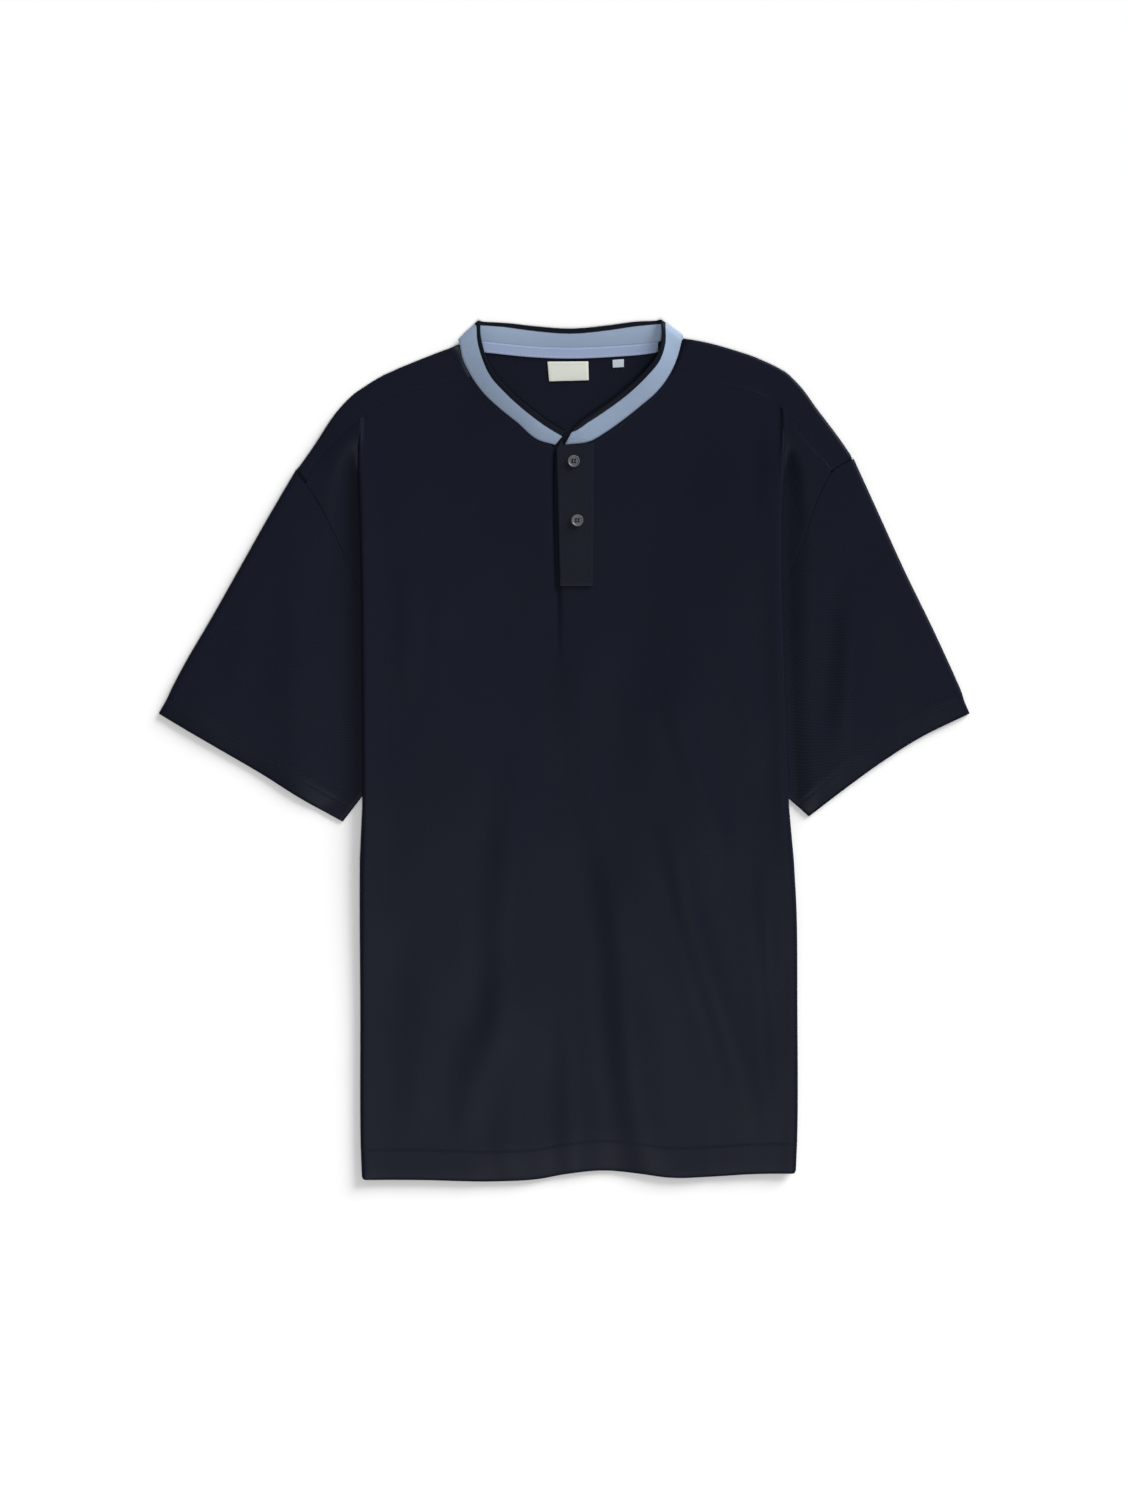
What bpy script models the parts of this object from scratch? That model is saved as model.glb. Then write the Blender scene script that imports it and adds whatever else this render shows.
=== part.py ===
"""Polo shirt with a stand-up band collar, laid flat with its front up.

The frame: +Y runs from the hem to the collar, +X to the wearer's left, and the shirt rests on z = 0.
Lengths in the tables are millimetres; the meshes are made in metres.

How it lies: both sides of the body are folded under along the side folds, so that a strip of the front and
a strip of the back are tucked beneath the body. Each sleeve comes out from under its side fold. Layers from
the floor up, near a side fold: sleeve (two layers), front strip, back strip, back panel, front panel.
"""

import math
from collections import namedtuple

import bmesh
import bpy
from mathutils import Vector

MM = 0.001
MERGE = 0.02           # points closer than this are one

# Cloth
CLOTH = 1.2            # thickness of a cloth wall
LAYER_GAP = 0.5        # least gap between two layers
STEP = CLOTH + LAYER_GAP          # from the middle of one layer to the next
BAND_CLOTH = 1.8       # the neck band is knitted double
TRIM = 1.0             # thickness of tape and labels

# Heights of the lying shirt
CENTRE_TOP = 6.4       # top of the front panel down the middle
STRIP_LIFT = 0.6       # how much higher the front is over the tucked strips
SIDE_BULGE = 2.0       # how much the side folds stand up
SLEEVE_NEAR = 2.9      # top of a sleeve beside the body
SLEEVE_FAR = 6.2       # top of a sleeve away from the body
SLEEVE_RISE = 38.0     # distance over which it rises
FRONT_SLOPE = 100.0    # distance over which the front comes down from the tucked strips to the middle
BACK_SLOPE = 34.0      # the same for the back panel
STRIP_MARGIN = 2.0     # both keep their height this far past a strip's edge
BULGE_REACH = 15.0     # how far in from a side fold its bulge dies away
FRONT_BASE = (-270, -20)          # the front comes down from above the sleeves between these rows
SHOULDER_FALL = 24.0   # the shoulder comes down past a side fold over this distance
BACK_FALL = 16.0       # the same for the back panel under it

# Sides of the body, one row a section. y: place along the body; right, left: the side folds;
# right_tuck, left_tuck: width of the strips folded under; base: height of the strips' underside
Side = namedtuple("Side", "y right left right_tuck left_tuck base")
SIDES = (
    Side(-412, -193.5, 222.0, 100, 104, 0.0),
    Side(-380, -194.7, 223.3, 98, 103, 0.0),
    Side(-260, -195.0, 223.5, 92, 99, 0.0),
    Side(-150, -194.6, 221.5, 85, 95, 0.0),
    Side(-105, -194.0, 218.5, 81, 92, 0.0),
    Side(-55, -193.0, 215.3, 76, 88, 3.5),
    Side(35, -193.0, 212.0, 67, 80, 3.5),
    Side(110, -193.6, 209.5, 40, 44, 3.5),
    Side(178, -194.5, 208.0, 27, 30, 3.5),
    Side(235, -196.0, 208.8, 15, 16, 3.5),
    Side(268, -197.6, 211.2, 4.6, 4.6, 3.6),
    Side(304, -198.5, 213.5, 4.6, 4.6, 3.6),
    Side(340, -198.5, 213.5, 4.6, 4.6, 3.6),
)
APEX = 304             # the side folds run out here, below the shoulders
LIP_TOP = 268          # highest row that is folded under
TAPER = (250, 338)     # the tucked layers thin out between these rows
SLEEVE_ROOM = 3.5      # height of the strips' underside where a sleeve lies beneath them

# Edges across the body, as (x, y)
HEM = ((-200, -410.5), (-140, -410.6), (-60, -412.0), (-22, -409.6), (0, -405.5), (36, -401.9), (72, -404.8),
       (100, -408.4), (140, -407.6), (175, -405.3), (230, -404.4))
HEM_CORNER = 9.0       # the tucked strips' hem lies this much further up
FRONT_SEAM_RIGHT = ((-200, 311.6), (-188, 321.0), (-176, 330.0), (-160, 340.3), (-137, 346.4), (-115, 351.2),
                    (-80, 359.0))
FRONT_SEAM_LEFT = ((90, 361.8), (101.5, 359.6), (130, 354.1), (160, 348.2), (186, 341.6), (204, 331.2),
                   (214, 319.6))
SHOULDER_RIGHT = ((-198.5, 342.4), (-175.6, 357.0), (-156.5, 365.6), (-140.2, 372.3), (-125.8, 378.0),
                  (-113.4, 382.8), (-101.8, 388.2))
SHOULDER_LEFT = ((116.2, 393.8), (124, 392.4), (137.3, 389.5), (151.7, 385.7), (176.6, 378.0), (190.9, 372.3),
                 (207.2, 364.6), (213.5, 360.2))
NECK_CORNERS = (-89.2, 101.6)     # where the forward shoulder seams meet the band
NECK_CENTRE = (6.0, 345.0)
NECK_SIDES = 60        # past this x the neckline climbs towards a shoulder,
CORNER_FROM = 80       # and past this one the seam or the neckline bounds the front, whichever is lower
FRONT_NECK_SEAM = 1.8  # gap between the band and the front's neckline
BACK_NECK_SEAM = 1.3   # the same at the back

# Forward shoulder seams past the side folds, from the fold to the armhole, as (x, y)
SEAM_PAST_RIGHT = ((-198.5, 312.8), (-204.3, 308.2), (-223.5, 289.0), (-240.0, 271.0), (-247.8, 255.0))
SEAM_PAST_LEFT = ((213.5, 319.9), (226.3, 300.5), (240.7, 284.2), (250.0, 275.0), (256.6, 265.8))
# Shoulder edges past the side folds, from the fold to the armhole
EDGE_PAST_RIGHT = ((-198.5, 342.4), (-214.8, 326.3), (-226.3, 311.0), (-235.9, 295.7), (-246.4, 280.4),
                   (-255.2, 268.0))
EDGE_PAST_LEFT = ((213.5, 360.2), (231.1, 341.6), (241.6, 326.3), (253.1, 311.0), (264.6, 295.7),
                  (275.4, 280.0))

# Sleeves: armhole from the shoulder edge to the armpit, the outer fold and the cuff, as (x, y)
ARMHOLE_RIGHT = ((-257.0, 266.4), (-247.8, 255.0), (-236.8, 240.2), (-225.4, 219.1), (-213.9, 195.2),
                 (-202, 168), (-187, 140), (-169, 112), (-148, 76), (-127, 41))
ARMHOLE_LEFT = ((277.0, 278.4), (256.6, 265.8), (245.5, 246.0), (237.8, 227.0), (227.3, 197.1),
                (214, 168), (196, 138), (178, 112), (155, 70), (132, 27))
OUTER_RIGHT = ((-257.0, 266.4), (-284.7, 219.1), (-310.5, 173.2), (-336.4, 127.3), (-363.2, 81.3),
               (-375.6, 57.5), (-379.0, 50.0), (-387.6, 35.0))
OUTER_LEFT = ((277.0, 278.4), (297.1, 234.5), (324.9, 173.2), (354.6, 112.0), (375.6, 66.0),
              (380.4, 54.6), (382.4, 48.0), (388.0, 35.0))
CUFF_RIGHT = ((-387.6, 35.0), (-367.0, 22.6), (-329, 0.4), (-290.5, -22.0), (-252.0, -46.2), (-211.6, -68.6))
CUFF_LEFT = ((388.0, 35.0), (370, 26.6), (345, 14.4), (303.0, -12.0), (263.0, -41.2), (234.0, -63.6))

# Neck band: stations from its right front end round the back to its left front end.
# sx, sy, sz: the seamed edge; tx, ty, tz: the tipped edge
Band = namedtuple("Band", "sx sy sz tx ty tz")
BAND = (
    Band(-8.3, 291.6, 6.2, 1.5, 303.0, 9.4),
    Band(-24.5, 296.4, 6.0, -15.5, 313.4, 11.2),
    Band(-45.3, 313.6, 5.8, -37.0, 329.6, 12.6),
    Band(-61.7, 326.8, 5.8, -54.5, 345.4, 13.6),
    Band(-77.6, 342.2, 5.8, -68.0, 361.0, 14.0),
    Band(-90.0, 360.0, 5.8, -76.0, 380.0, 13.6),
    Band(-97.0, 375.0, 5.7, -79.6, 396.0, 11.8),
    Band(-99.6, 388.4, 5.4, -80.2, 408.4, 9.6),
    Band(-100.6, 392.2, 3.3, -81.4, 410.2, 6.8),
    Band(-97.0, 392.0, 1.4, -78.2, 409.6, 4.2),
    Band(-70.0, 389.4, 1.4, -55.0, 408.2, 3.6),
    Band(-35.0, 385.8, 1.4, -28.0, 405.2, 4.0),
    Band(6.0, 384.2, 1.4, 6.0, 402.8, 4.2),
    Band(47.0, 385.8, 1.4, 41.0, 405.8, 4.0),
    Band(80.0, 388.6, 1.4, 68.0, 409.4, 3.6),
    Band(109.0, 394.6, 1.4, 88.6, 410.4, 4.2),
    Band(113.6, 395.6, 3.3, 92.0, 410.8, 6.8),
    Band(112.4, 391.6, 5.4, 92.6, 407.4, 9.6),
    Band(108.6, 377.0, 5.7, 93.0, 392.0, 12.2),
    Band(101.6, 360.6, 5.8, 88.2, 375.4, 14.0),
    Band(88.6, 342.4, 5.8, 75.0, 358.8, 14.4),
    Band(73.2, 328.9, 5.8, 60.0, 344.6, 13.8),
    Band(56.0, 315.2, 5.8, 44.0, 332.2, 12.8),
    Band(39.4, 303.4, 6.0, 28.0, 321.4, 11.6),
    Band(25.0, 295.6, 6.2, 12.0, 310.6, 10.6),
    Band(6.0, 292.8, 6.4, 4.6, 304.6, 10.2),
)
BAND_CORNER_RIGHT = 8  # stations at the middle of the two shoulder corners
BAND_CORNER_LEFT = 16
CENTRE_SEAM = 5.0      # seamed edges higher than this belong to the band's front
BAND_STEPS = 2         # rows between two stations
BAND_ROWS = 4          # rows from seam to tipping

# Neck tape and labels, on the inside of the back
TAPE_ENDS = (-80, 90)
TAPE_WIDTH = 10.5
LABEL = ((-15.8, 371.4), (23.2, 371.6), (23.6, 353.6), (-14.2, 352.6))
SIZE_LABEL = ((46.4, 373.0), (57.2, 373.8), (57.2, 366.2), (46.6, 365.6))

# Placket and its buttons
PLACKET_LEFT = ((155.2, -2.2), (287.4, -7.0))      # (y, x) along its free edge
PLACKET_RIGHT = ((155.2, 30.4), (294.0, 30.0))
PLACKET_TOP = ((0.0, 287.4), (0.16, 298.2), (0.28, 291.7), (0.6, 292.0), (1.0, 294.0))   # (share across, y)
PLACKET_CLOTH = 1.6
BUTTONS = (("button_top", 9.3, 275.6), ("button_bottom", 12.7, 219.0))
BUTTON_RADIUS = 5.7
BUTTON_HEIGHT = 2.2
BUTTON_SECTION = ((0, 0.62), (0.62, 0.62), (0.74, 0.95), (0.86, 1), (1, 0.7), (0.94, 0.25), (0.7, 0), (0, 0))
BUTTON_SIDES = 20      # BUTTON_SECTION is (share of the radius, share of the height), turned in this many steps
BUTTON_HOLES = 4
HOLE_RADIUS = 0.75
HOLE_CIRCLE = 1.75     # distance of the holes from the middle
HOLE_SIDES = 6

# Soft folds of the front: from (x0, y0) to (x1, y1), half width, and height above or depth below the cloth
Fold = namedtuple("Fold", "x0 y0 x1 y1 width height")
FOLDS = (
    Fold(-39, 50, -84, -350, 15, 1.2),
    Fold(-63, 50, -110, -350, 15, -0.6),
    Fold(6, 140, 45, -140, 14, 0.6),
    Fold(-17, 140, 22, -140, 14, -0.3),
    Fold(38, -70, 94, -460, 18, 1.8),
    Fold(10, -70, 66, -460, 18, -0.9),
    Fold(92, -60, 180, -380, 12, 0.8),
    Fold(75, 80, 150, -120, 12, 0.7),
    Fold(7, -200, 8, -440, 14, 0.9),
    Fold(-134, -170, -141, -350, 13, 0.8),
    Fold(202, -120, 206, -350, 8, 0.9),
)
FOLD_FADE = 0.25       # share of a fold's length over which it fades at either end

COLOURS = {"navy": (0.010, 0.012, 0.020), "blue": (0.26, 0.33, 0.47), "placket": (0.016, 0.018, 0.025),
           "button": (0.10, 0.105, 0.12), "label": (0.78, 0.80, 0.72)}


def smooth(t):
    """0 below 0, 1 above 1, and a soft step between."""
    t = min(1.0, max(0.0, t))
    return t * t * (3 - 2 * t)


def blend(a, b, t):
    return a + (b - a) * t


def look_up(table, x):
    """Value at x of a curve through (x, value) rows, straight between them."""
    rows = list(table)
    if x <= rows[0][0]:
        return rows[0][1]
    for (x0, v0), (x1, v1) in zip(rows, rows[1:]):
        if x <= x1:
            return blend(v0, v1, (x - x0) / (x1 - x0))
    return rows[-1][1]


def along(points, t):
    """Point at the share t of the length of a path."""
    lengths = [math.dist(a, b) for a, b in zip(points, points[1:])]
    left = min(1.0, max(0.0, t)) * sum(lengths)
    for a, b, length in zip(points, points[1:], lengths):
        if left <= length:
            return tuple(blend(p, q, left / length) for p, q in zip(a, b))
        left -= length
    return tuple(points[-1])


def rounded(points, steps):
    """A smooth path through the points, whose slopes allow for their uneven spacing."""
    points = [Vector(p) for p in points]
    gaps = [(b - a).length for a, b in zip(points, points[1:])]
    runs = [(b - a) / gap for a, b, gap in zip(points, points[1:], gaps)]
    slopes = [runs[0]]
    for before, after, gap, next_gap in zip(runs, runs[1:], gaps, gaps[1:]):
        slopes.append((before * next_gap + after * gap) / (gap + next_gap))
    slopes.append(runs[-1])
    path = []
    for k, (a, b, gap) in enumerate(zip(points, points[1:], gaps)):
        leave = slopes[k] * min(gap, 2 * gaps[max(k - 1, 0)])
        arrive = slopes[k + 1] * min(gap, 2 * gaps[min(k + 1, len(gaps) - 1)])
        for step in range(steps):
            t = step / steps
            bend = (leave * (1 - t) - arrive * t) * t * (1 - t)
            path.append(tuple(a + (b - a) * t * t * (3 - 2 * t) + bend))
    return [*path, tuple(points[-1])]


def side_value(column, y):
    return look_up([(row.y, getattr(row, column)) for row in SIDES], y)


def fold_x(side, y):
    return side_value("right" if side < 0 else "left", y)


def tuck(side, y):
    return side_value("right_tuck" if side < 0 else "left_tuck", y)


def base(y):
    return side_value("base", y)


def taper(y):
    return 1 - smooth((y - TAPER[0]) / (TAPER[1] - TAPER[0]))


def inside(side, x, y):
    """Distance from a side fold to x, inwards."""
    return side * (fold_x(side, y) - x)


def front_base(y):
    """Height of the strips' underside, evened out along the front."""
    return max(base(y), SLEEVE_ROOM * smooth((y - FRONT_BASE[0]) / (FRONT_BASE[1] - FRONT_BASE[0])))


def plateau(side, x, y, slope):
    """1 over what is tucked beneath this side, 0 over the middle."""
    return 1 - smooth((inside(side, x, y) - tuck(side, y) - STRIP_MARGIN) / slope)


def bulge(side, x, y):
    """1 at the side fold, 0 a little way in."""
    return math.exp(-((max(0.0, inside(side, x, y)) / BULGE_REACH) ** 2))


def fold_height(x, y):
    """Soft folds of the front panel."""
    total = 0.0
    for f in FOLDS:
        length = math.dist((f.x0, f.y0), (f.x1, f.y1))
        t = ((x - f.x0) * (f.x1 - f.x0) + (y - f.y0) * (f.y1 - f.y0)) / length ** 2
        off = abs((x - f.x0) * (f.y1 - f.y0) - (y - f.y0) * (f.x1 - f.x0)) / length
        ends = smooth(t / FOLD_FADE) * smooth((1 - t) / FOLD_FADE)
        total += f.height * ends * math.exp(-2 * (off / f.width) ** 2)
    return total


def body_top(x, y):
    """Top of the front panel, and of the back panel's shoulder strips, within the side folds."""
    strips = front_base(y) + STRIP_LIFT
    lift = sum(plateau(s, x, y, FRONT_SLOPE) * strips + bulge(s, x, y) * SIDE_BULGE for s in (-1, 1))
    return CENTRE_TOP + lift * taper(y) + fold_height(x, y)


def body_under(x, y):
    """Underside of the back panel within the side folds."""
    stack = 2 * CLOTH + 2 * LAYER_GAP
    edge = CENTRE_TOP + STRIP_LIFT + SIDE_BULGE - 2 * CLOTH - LAYER_GAP - stack
    lift = sum(plateau(s, x, y, BACK_SLOPE) * (base(y) + stack) + bulge(s, x, y) * edge for s in (-1, 1))
    return lift * taper(y)


def past_top(side, x, y):
    """Top of a sleeve, and of the shoulder past the side fold."""
    out = max(0.0, -inside(side, x, y))
    low = blend(SLEEVE_NEAR, SLEEVE_FAR, smooth(out / SLEEVE_RISE))
    edge = body_top(fold_x(side, y), y)
    high = blend(SLEEVE_FAR, edge, math.exp(-((out / SHOULDER_FALL) ** 2)))
    return blend(low, high, smooth((y - LIP_TOP) / (APEX - LIP_TOP)))


def past_under(side, x, y):
    """Underside of the back panel past the side fold: on the floor, rising to the body above the apex."""
    out = max(0.0, -inside(side, x, y))
    edge = body_under(fold_x(side, y), y)
    high = edge * math.exp(-((out / BACK_FALL) ** 2))
    return high * smooth((y - LIP_TOP) / (APEX - LIP_TOP))


# ---------------------------------------------------------------------------------------------------------
# Paths shared by several pieces

def band_path(first, last, edge):
    """Seam or tip edge of the neck band between two stations, as (x, y, z)."""
    stations = BAND[first:last + 1]
    columns = ("sx", "sy", "sz") if edge == "seam" else ("tx", "ty", "tz")
    return rounded([tuple(getattr(row, c) for c in columns) for row in stations], BAND_STEPS)


def front_neck():
    """Front neckline, from its right corner to its left one, as (x, y): the band's seam moved out."""
    left = band_path(BAND_CORNER_LEFT + 1, len(BAND) - 1, "seam")[::-1]
    right = band_path(0, BAND_CORNER_RIGHT - 1, "seam")[::-1]
    path = []
    for x, y, _ in right + left:
        away = Vector((x - NECK_CENTRE[0], y - NECK_CENTRE[1])).normalized() * FRONT_NECK_SEAM
        path.append((x + away.x, y + away.y))
    return path


def back_neck(x):
    """y of the back neckline at x."""
    path = band_path(BAND_CORNER_RIGHT + 1, BAND_CORNER_LEFT - 1, "seam")
    return look_up([(px, py) for px, py, _ in path], x) - BACK_NECK_SEAM


def front_top(x):
    """y of the front panel's top edge at x: shoulder seams and neckline."""
    if x < NECK_CORNERS[0]:
        return look_up(FRONT_SEAM_RIGHT, x)
    if x > NECK_CORNERS[1]:
        return look_up(FRONT_SEAM_LEFT, x)
    seam = FRONT_SEAM_RIGHT if x < 0 else FRONT_SEAM_LEFT
    neck = look_up(FRONT_NECK, x)
    return min(neck, look_up(seam, x)) if abs(x) > CORNER_FROM else neck


def shoulder_edge(side):
    """The shoulder's outer edge from the neck to the armhole."""
    inner = SHOULDER_RIGHT[::-1] if side < 0 else SHOULDER_LEFT
    outer = EDGE_PAST_RIGHT if side < 0 else EDGE_PAST_LEFT
    return [*inner, *outer[1:]]


def forward_seam(side):
    """The forward shoulder seam from the neck to the armhole."""
    inner = FRONT_SEAM_RIGHT[::-1] if side < 0 else FRONT_SEAM_LEFT
    outer = SEAM_PAST_RIGHT if side < 0 else SEAM_PAST_LEFT
    corner = NECK_CORNERS[0] if side < 0 else NECK_CORNERS[1]
    inner = [(corner, look_up(sorted(inner), corner))] + [p for p in inner if side * p[0] > side * corner]
    return [*inner[:-1], *outer]


def x_on(path, y):
    """x where a path that runs down in y passes y."""
    return look_up([(py, px) for px, py in sorted(path, key=lambda p: p[1])], y)


FRONT_NECK = front_neck()


# ---------------------------------------------------------------------------------------------------------
# Front and back panels: a grid of rows along the body; each row runs from one end round to the other

ROLL_START = 4.6                  # the roll at a side fold begins this far in
RETURN_FROM = 60                  # below this row a tucked strip ends at the side seam
SQUARE_TO = 150                   # rows run straight across up to here, and follow the top edges above
LOWER_ROWS = (-412, -385, -345, -300, -250, -200, -150, -105, -55, -10, 35, 62, 105, 150)
UPPER_ROWS = (180, 208, 234, 254, 268, 271, 275, 280, 285, 290, 296, 304)
ROLL_STEPS, STRIP_STEPS, LIP_STEPS, RETURN_STEPS = 4, 2, 3, 4
FRONT_SHOULDER, BACK_SHOULDER = 7, 5     # columns on a shoulder
BACK_NECK = 6                     # columns of the back across the neck
COLUMN_GAP = 3.0                  # least distance of a neckline column from a neck corner
LEAST_LIP = 0.9                   # least radius where a strip turns out again
SHOULDER_INSET = 3.2              # from the shoulder's outer edge to where its roll begins
PAST_INSET = 4.2                  # the same, along a row past the side fold
WRAP_STEPS = (0.35, 0.7, 1.0)     # shares of the way from the shoulder edge to the forward seam
SHOULDER_SEAM = 1.2               # gap along the forward shoulder seam
ARMHOLE_SEAM = 0.6                # gap on each side of the armhole line
CORNER_SHARE = 0.22               # where the shoulder's roll begins along the armhole, as a share
FRONT, BACK = 0, 1


def middle_top(x, y):
    """Middle of the topmost cloth anywhere on the shirt's body and shoulders."""
    for side in (-1, 1):
        if inside(side, x, y) < 0:
            return past_top(side, x, y) - CLOTH / 2
    return body_top(x, y) - CLOTH / 2


def fold_heights(side, y, layer):
    """Middle heights of a panel above a side fold and just past it, and the radii of its two turns."""
    x = fold_x(side, y) - side * ROLL_START
    edge = fold_x(side, y)
    above = body_top(x, y) - CLOTH / 2
    past = past_top(side, edge, y) - CLOTH / 2
    strip = base(y) + CLOTH / 2
    roll = (above - strip) / 2
    lip = max(LEAST_LIP, (strip - (SLEEVE_NEAR - CLOTH / 2)) / 2)
    if layer == BACK:
        free = smooth((y - LIP_TOP) / (APEX - LIP_TOP))
        above = blend(above - STEP, body_under(x, y) + CLOTH / 2, free)
        past = blend(past - STEP, past_under(side, edge, y) + CLOTH / 2, free)
        roll, lip = roll - STEP, lip + STEP
    return above, past, roll, lip


def row_end(side, y, layer):
    """x where a row ends past its tucked strip: at the armhole, or at the shoulder above it."""
    armhole = ARMHOLE_RIGHT if side < 0 else ARMHOLE_LEFT
    if layer == FRONT:
        seam = SEAM_PAST_RIGHT if side < 0 else SEAM_PAST_LEFT
        inset = 0.0
    else:
        seam = EDGE_PAST_RIGHT if side < 0 else EDGE_PAST_LEFT
        inset = PAST_INSET
    if y >= seam[-1][1]:
        return x_on(seam, y) - side * inset
    return x_on(armhole, y) - side * ARMHOLE_SEAM


def side_section(side, y, layer):
    """A panel's section past its roll start, as (distance past the side fold, height)."""
    above, past, roll, lip = fold_heights(side, y, layer)
    turn = math.pi
    if y > LIP_TOP:
        turn = math.acos(max(-1.0, min(1.0, 1 - max(0.0, above - past) / (roll + lip))))
    strip = max(0.0, tuck(side, y) - ROLL_START) if y <= LIP_TOP else 0.0
    points = []
    for k in range(1, ROLL_STEPS + 1):
        a = turn * k / ROLL_STEPS
        points.append((-ROLL_START + roll * math.sin(a), above - roll + roll * math.cos(a)))
    u, z = points[-1]
    for k in range(1, STRIP_STEPS + 1):
        points.append((u - strip * k / STRIP_STEPS, z))
    u, z = points[-1]
    for k in range(1, LIP_STEPS + 1):
        a = turn * (1 - k / LIP_STEPS)
        points.append((u + lip * (math.sin(turn) - math.sin(a)), z + lip * (math.cos(turn) - math.cos(a))))
    u = points[-1][0]
    end = side * (row_end(side, y, layer) - fold_x(side, y)) if y > RETURN_FROM else u
    for k in range(1, RETURN_STEPS + 1):
        out = blend(u, max(u, end), k / RETURN_STEPS)
        x = fold_x(side, y) + side * out
        if layer == FRONT:
            points.append((out, past_top(side, x, y) - CLOTH / 2))
        else:
            points.append((out, past_under(side, x, y) + CLOTH / 2))
    return points


def shoulder_y(side, x):
    """y of the back panel's edge at x, where it begins to roll over the shoulder."""
    path = sorted(shoulder_edge(side))
    slope = look_up(path, x + 1) - look_up(path, x - 1)
    return look_up(path, x) - SHOULDER_INSET * math.hypot(1, slope / 2)


def back_top(x):
    """y of the back panel's top edge at x."""
    if x <= SHOULDER_RIGHT[-1][0] + 0.01:
        return shoulder_y(-1, x)
    if x >= SHOULDER_LEFT[0][0] - 0.01:
        return shoulder_y(1, x)
    return back_neck(x)


def panel_rows(layer):
    """y of every row at the right and the left side fold."""
    rows = [(y, y) for y in (*LOWER_ROWS, *UPPER_ROWS)]
    if layer == FRONT:
        tops = (SEAM_PAST_RIGHT[0][1], SEAM_PAST_LEFT[0][1])
        rows.append(tuple(blend(APEX, top, 0.5) for top in tops))
    else:
        tops = (shoulder_y(-1, fold_x(-1, APEX)), shoulder_y(1, fold_x(1, APEX)))
        rows += [tuple(blend(APEX, top, share) for top in tops) for share in (0.25, 0.5, 0.75)]
    return [*rows, tops]


def panel_columns(layer):
    """Shares across the body of the columns between the two roll starts."""
    low, high = fold_x(-1, APEX) + ROLL_START, fold_x(1, APEX) - ROLL_START
    if layer == FRONT:
        right, left = NECK_CORNERS
        across = sorted(row.sx for row in BAND if row.sz > CENTRE_SEAM)
        across = [x for x in across if right + COLUMN_GAP < x < left - COLUMN_GAP]
        shoulder = FRONT_SHOULDER
    else:
        right, left = SHOULDER_RIGHT[-1][0], SHOULDER_LEFT[0][0]
        across = [blend(right, left, k / BACK_NECK) for k in range(1, BACK_NECK)]
        shoulder = BACK_SHOULDER
    places = [blend(low, right, k / shoulder) for k in range(shoulder + 1)] + across
    places += [blend(left, high, k / shoulder) for k in range(shoulder + 1)]
    return [(x - low) / (high - low) for x in places]


def panel_grid(layer):
    """Rows of points of a panel's middle surface; None where a row has no return."""
    rows = panel_rows(layer)
    top_edge = front_top if layer == FRONT else back_top
    grid = []
    for i, ends in enumerate(rows):
        climbs = [max(0.0, y - SQUARE_TO) / (top - SQUARE_TO) for y, top in zip(ends, rows[-1])]
        sides = []
        for side, y, climb in zip((-1, 1), ends, climbs):
            section = side_section(side, y, layer)
            drop = climb * (top_edge(fold_x(side, y) - side * ROLL_START) - rows[-1][0 if side < 0 else 1])
            points = []
            for k, (u, z) in enumerate(section):
                lift = drop * min(1.0, max(0.0, -u / ROLL_START))
                if k >= ROLL_STEPS / 2:
                    lift *= smooth((y - LIP_TOP) / (APEX - LIP_TOP))
                if i == 0:
                    lift = HEM_CORNER * smooth((k + 1) / (ROLL_STEPS + 1)) + look_up(HEM, fold_x(side, y)) - y
                if y <= RETURN_FROM and k >= ROLL_STEPS + STRIP_STEPS:
                    points.append(None)
                else:
                    points.append((fold_x(side, y) + side * u, y + lift, z))
            sides.append(points)
        across = []
        for share in panel_columns(layer):
            low, high = (fold_x(s, y) - s * ROLL_START for s, y in zip((-1, 1), ends))
            x = blend(low, high, share)
            y = blend(ends[0], ends[1], share)
            if i == 0:
                y = look_up(HEM, x)
            elif y > SQUARE_TO:
                y = SQUARE_TO + blend(*climbs, share) * (top_edge(x) - SQUARE_TO)
            if layer == FRONT:
                z = body_top(x, y) - CLOTH / 2
            else:
                z = body_under(x, y) + CLOTH / 2
            across.append((x, y, z))
        grid.append([*sides[0][::-1], *across, *sides[1]])
    return grid


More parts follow.
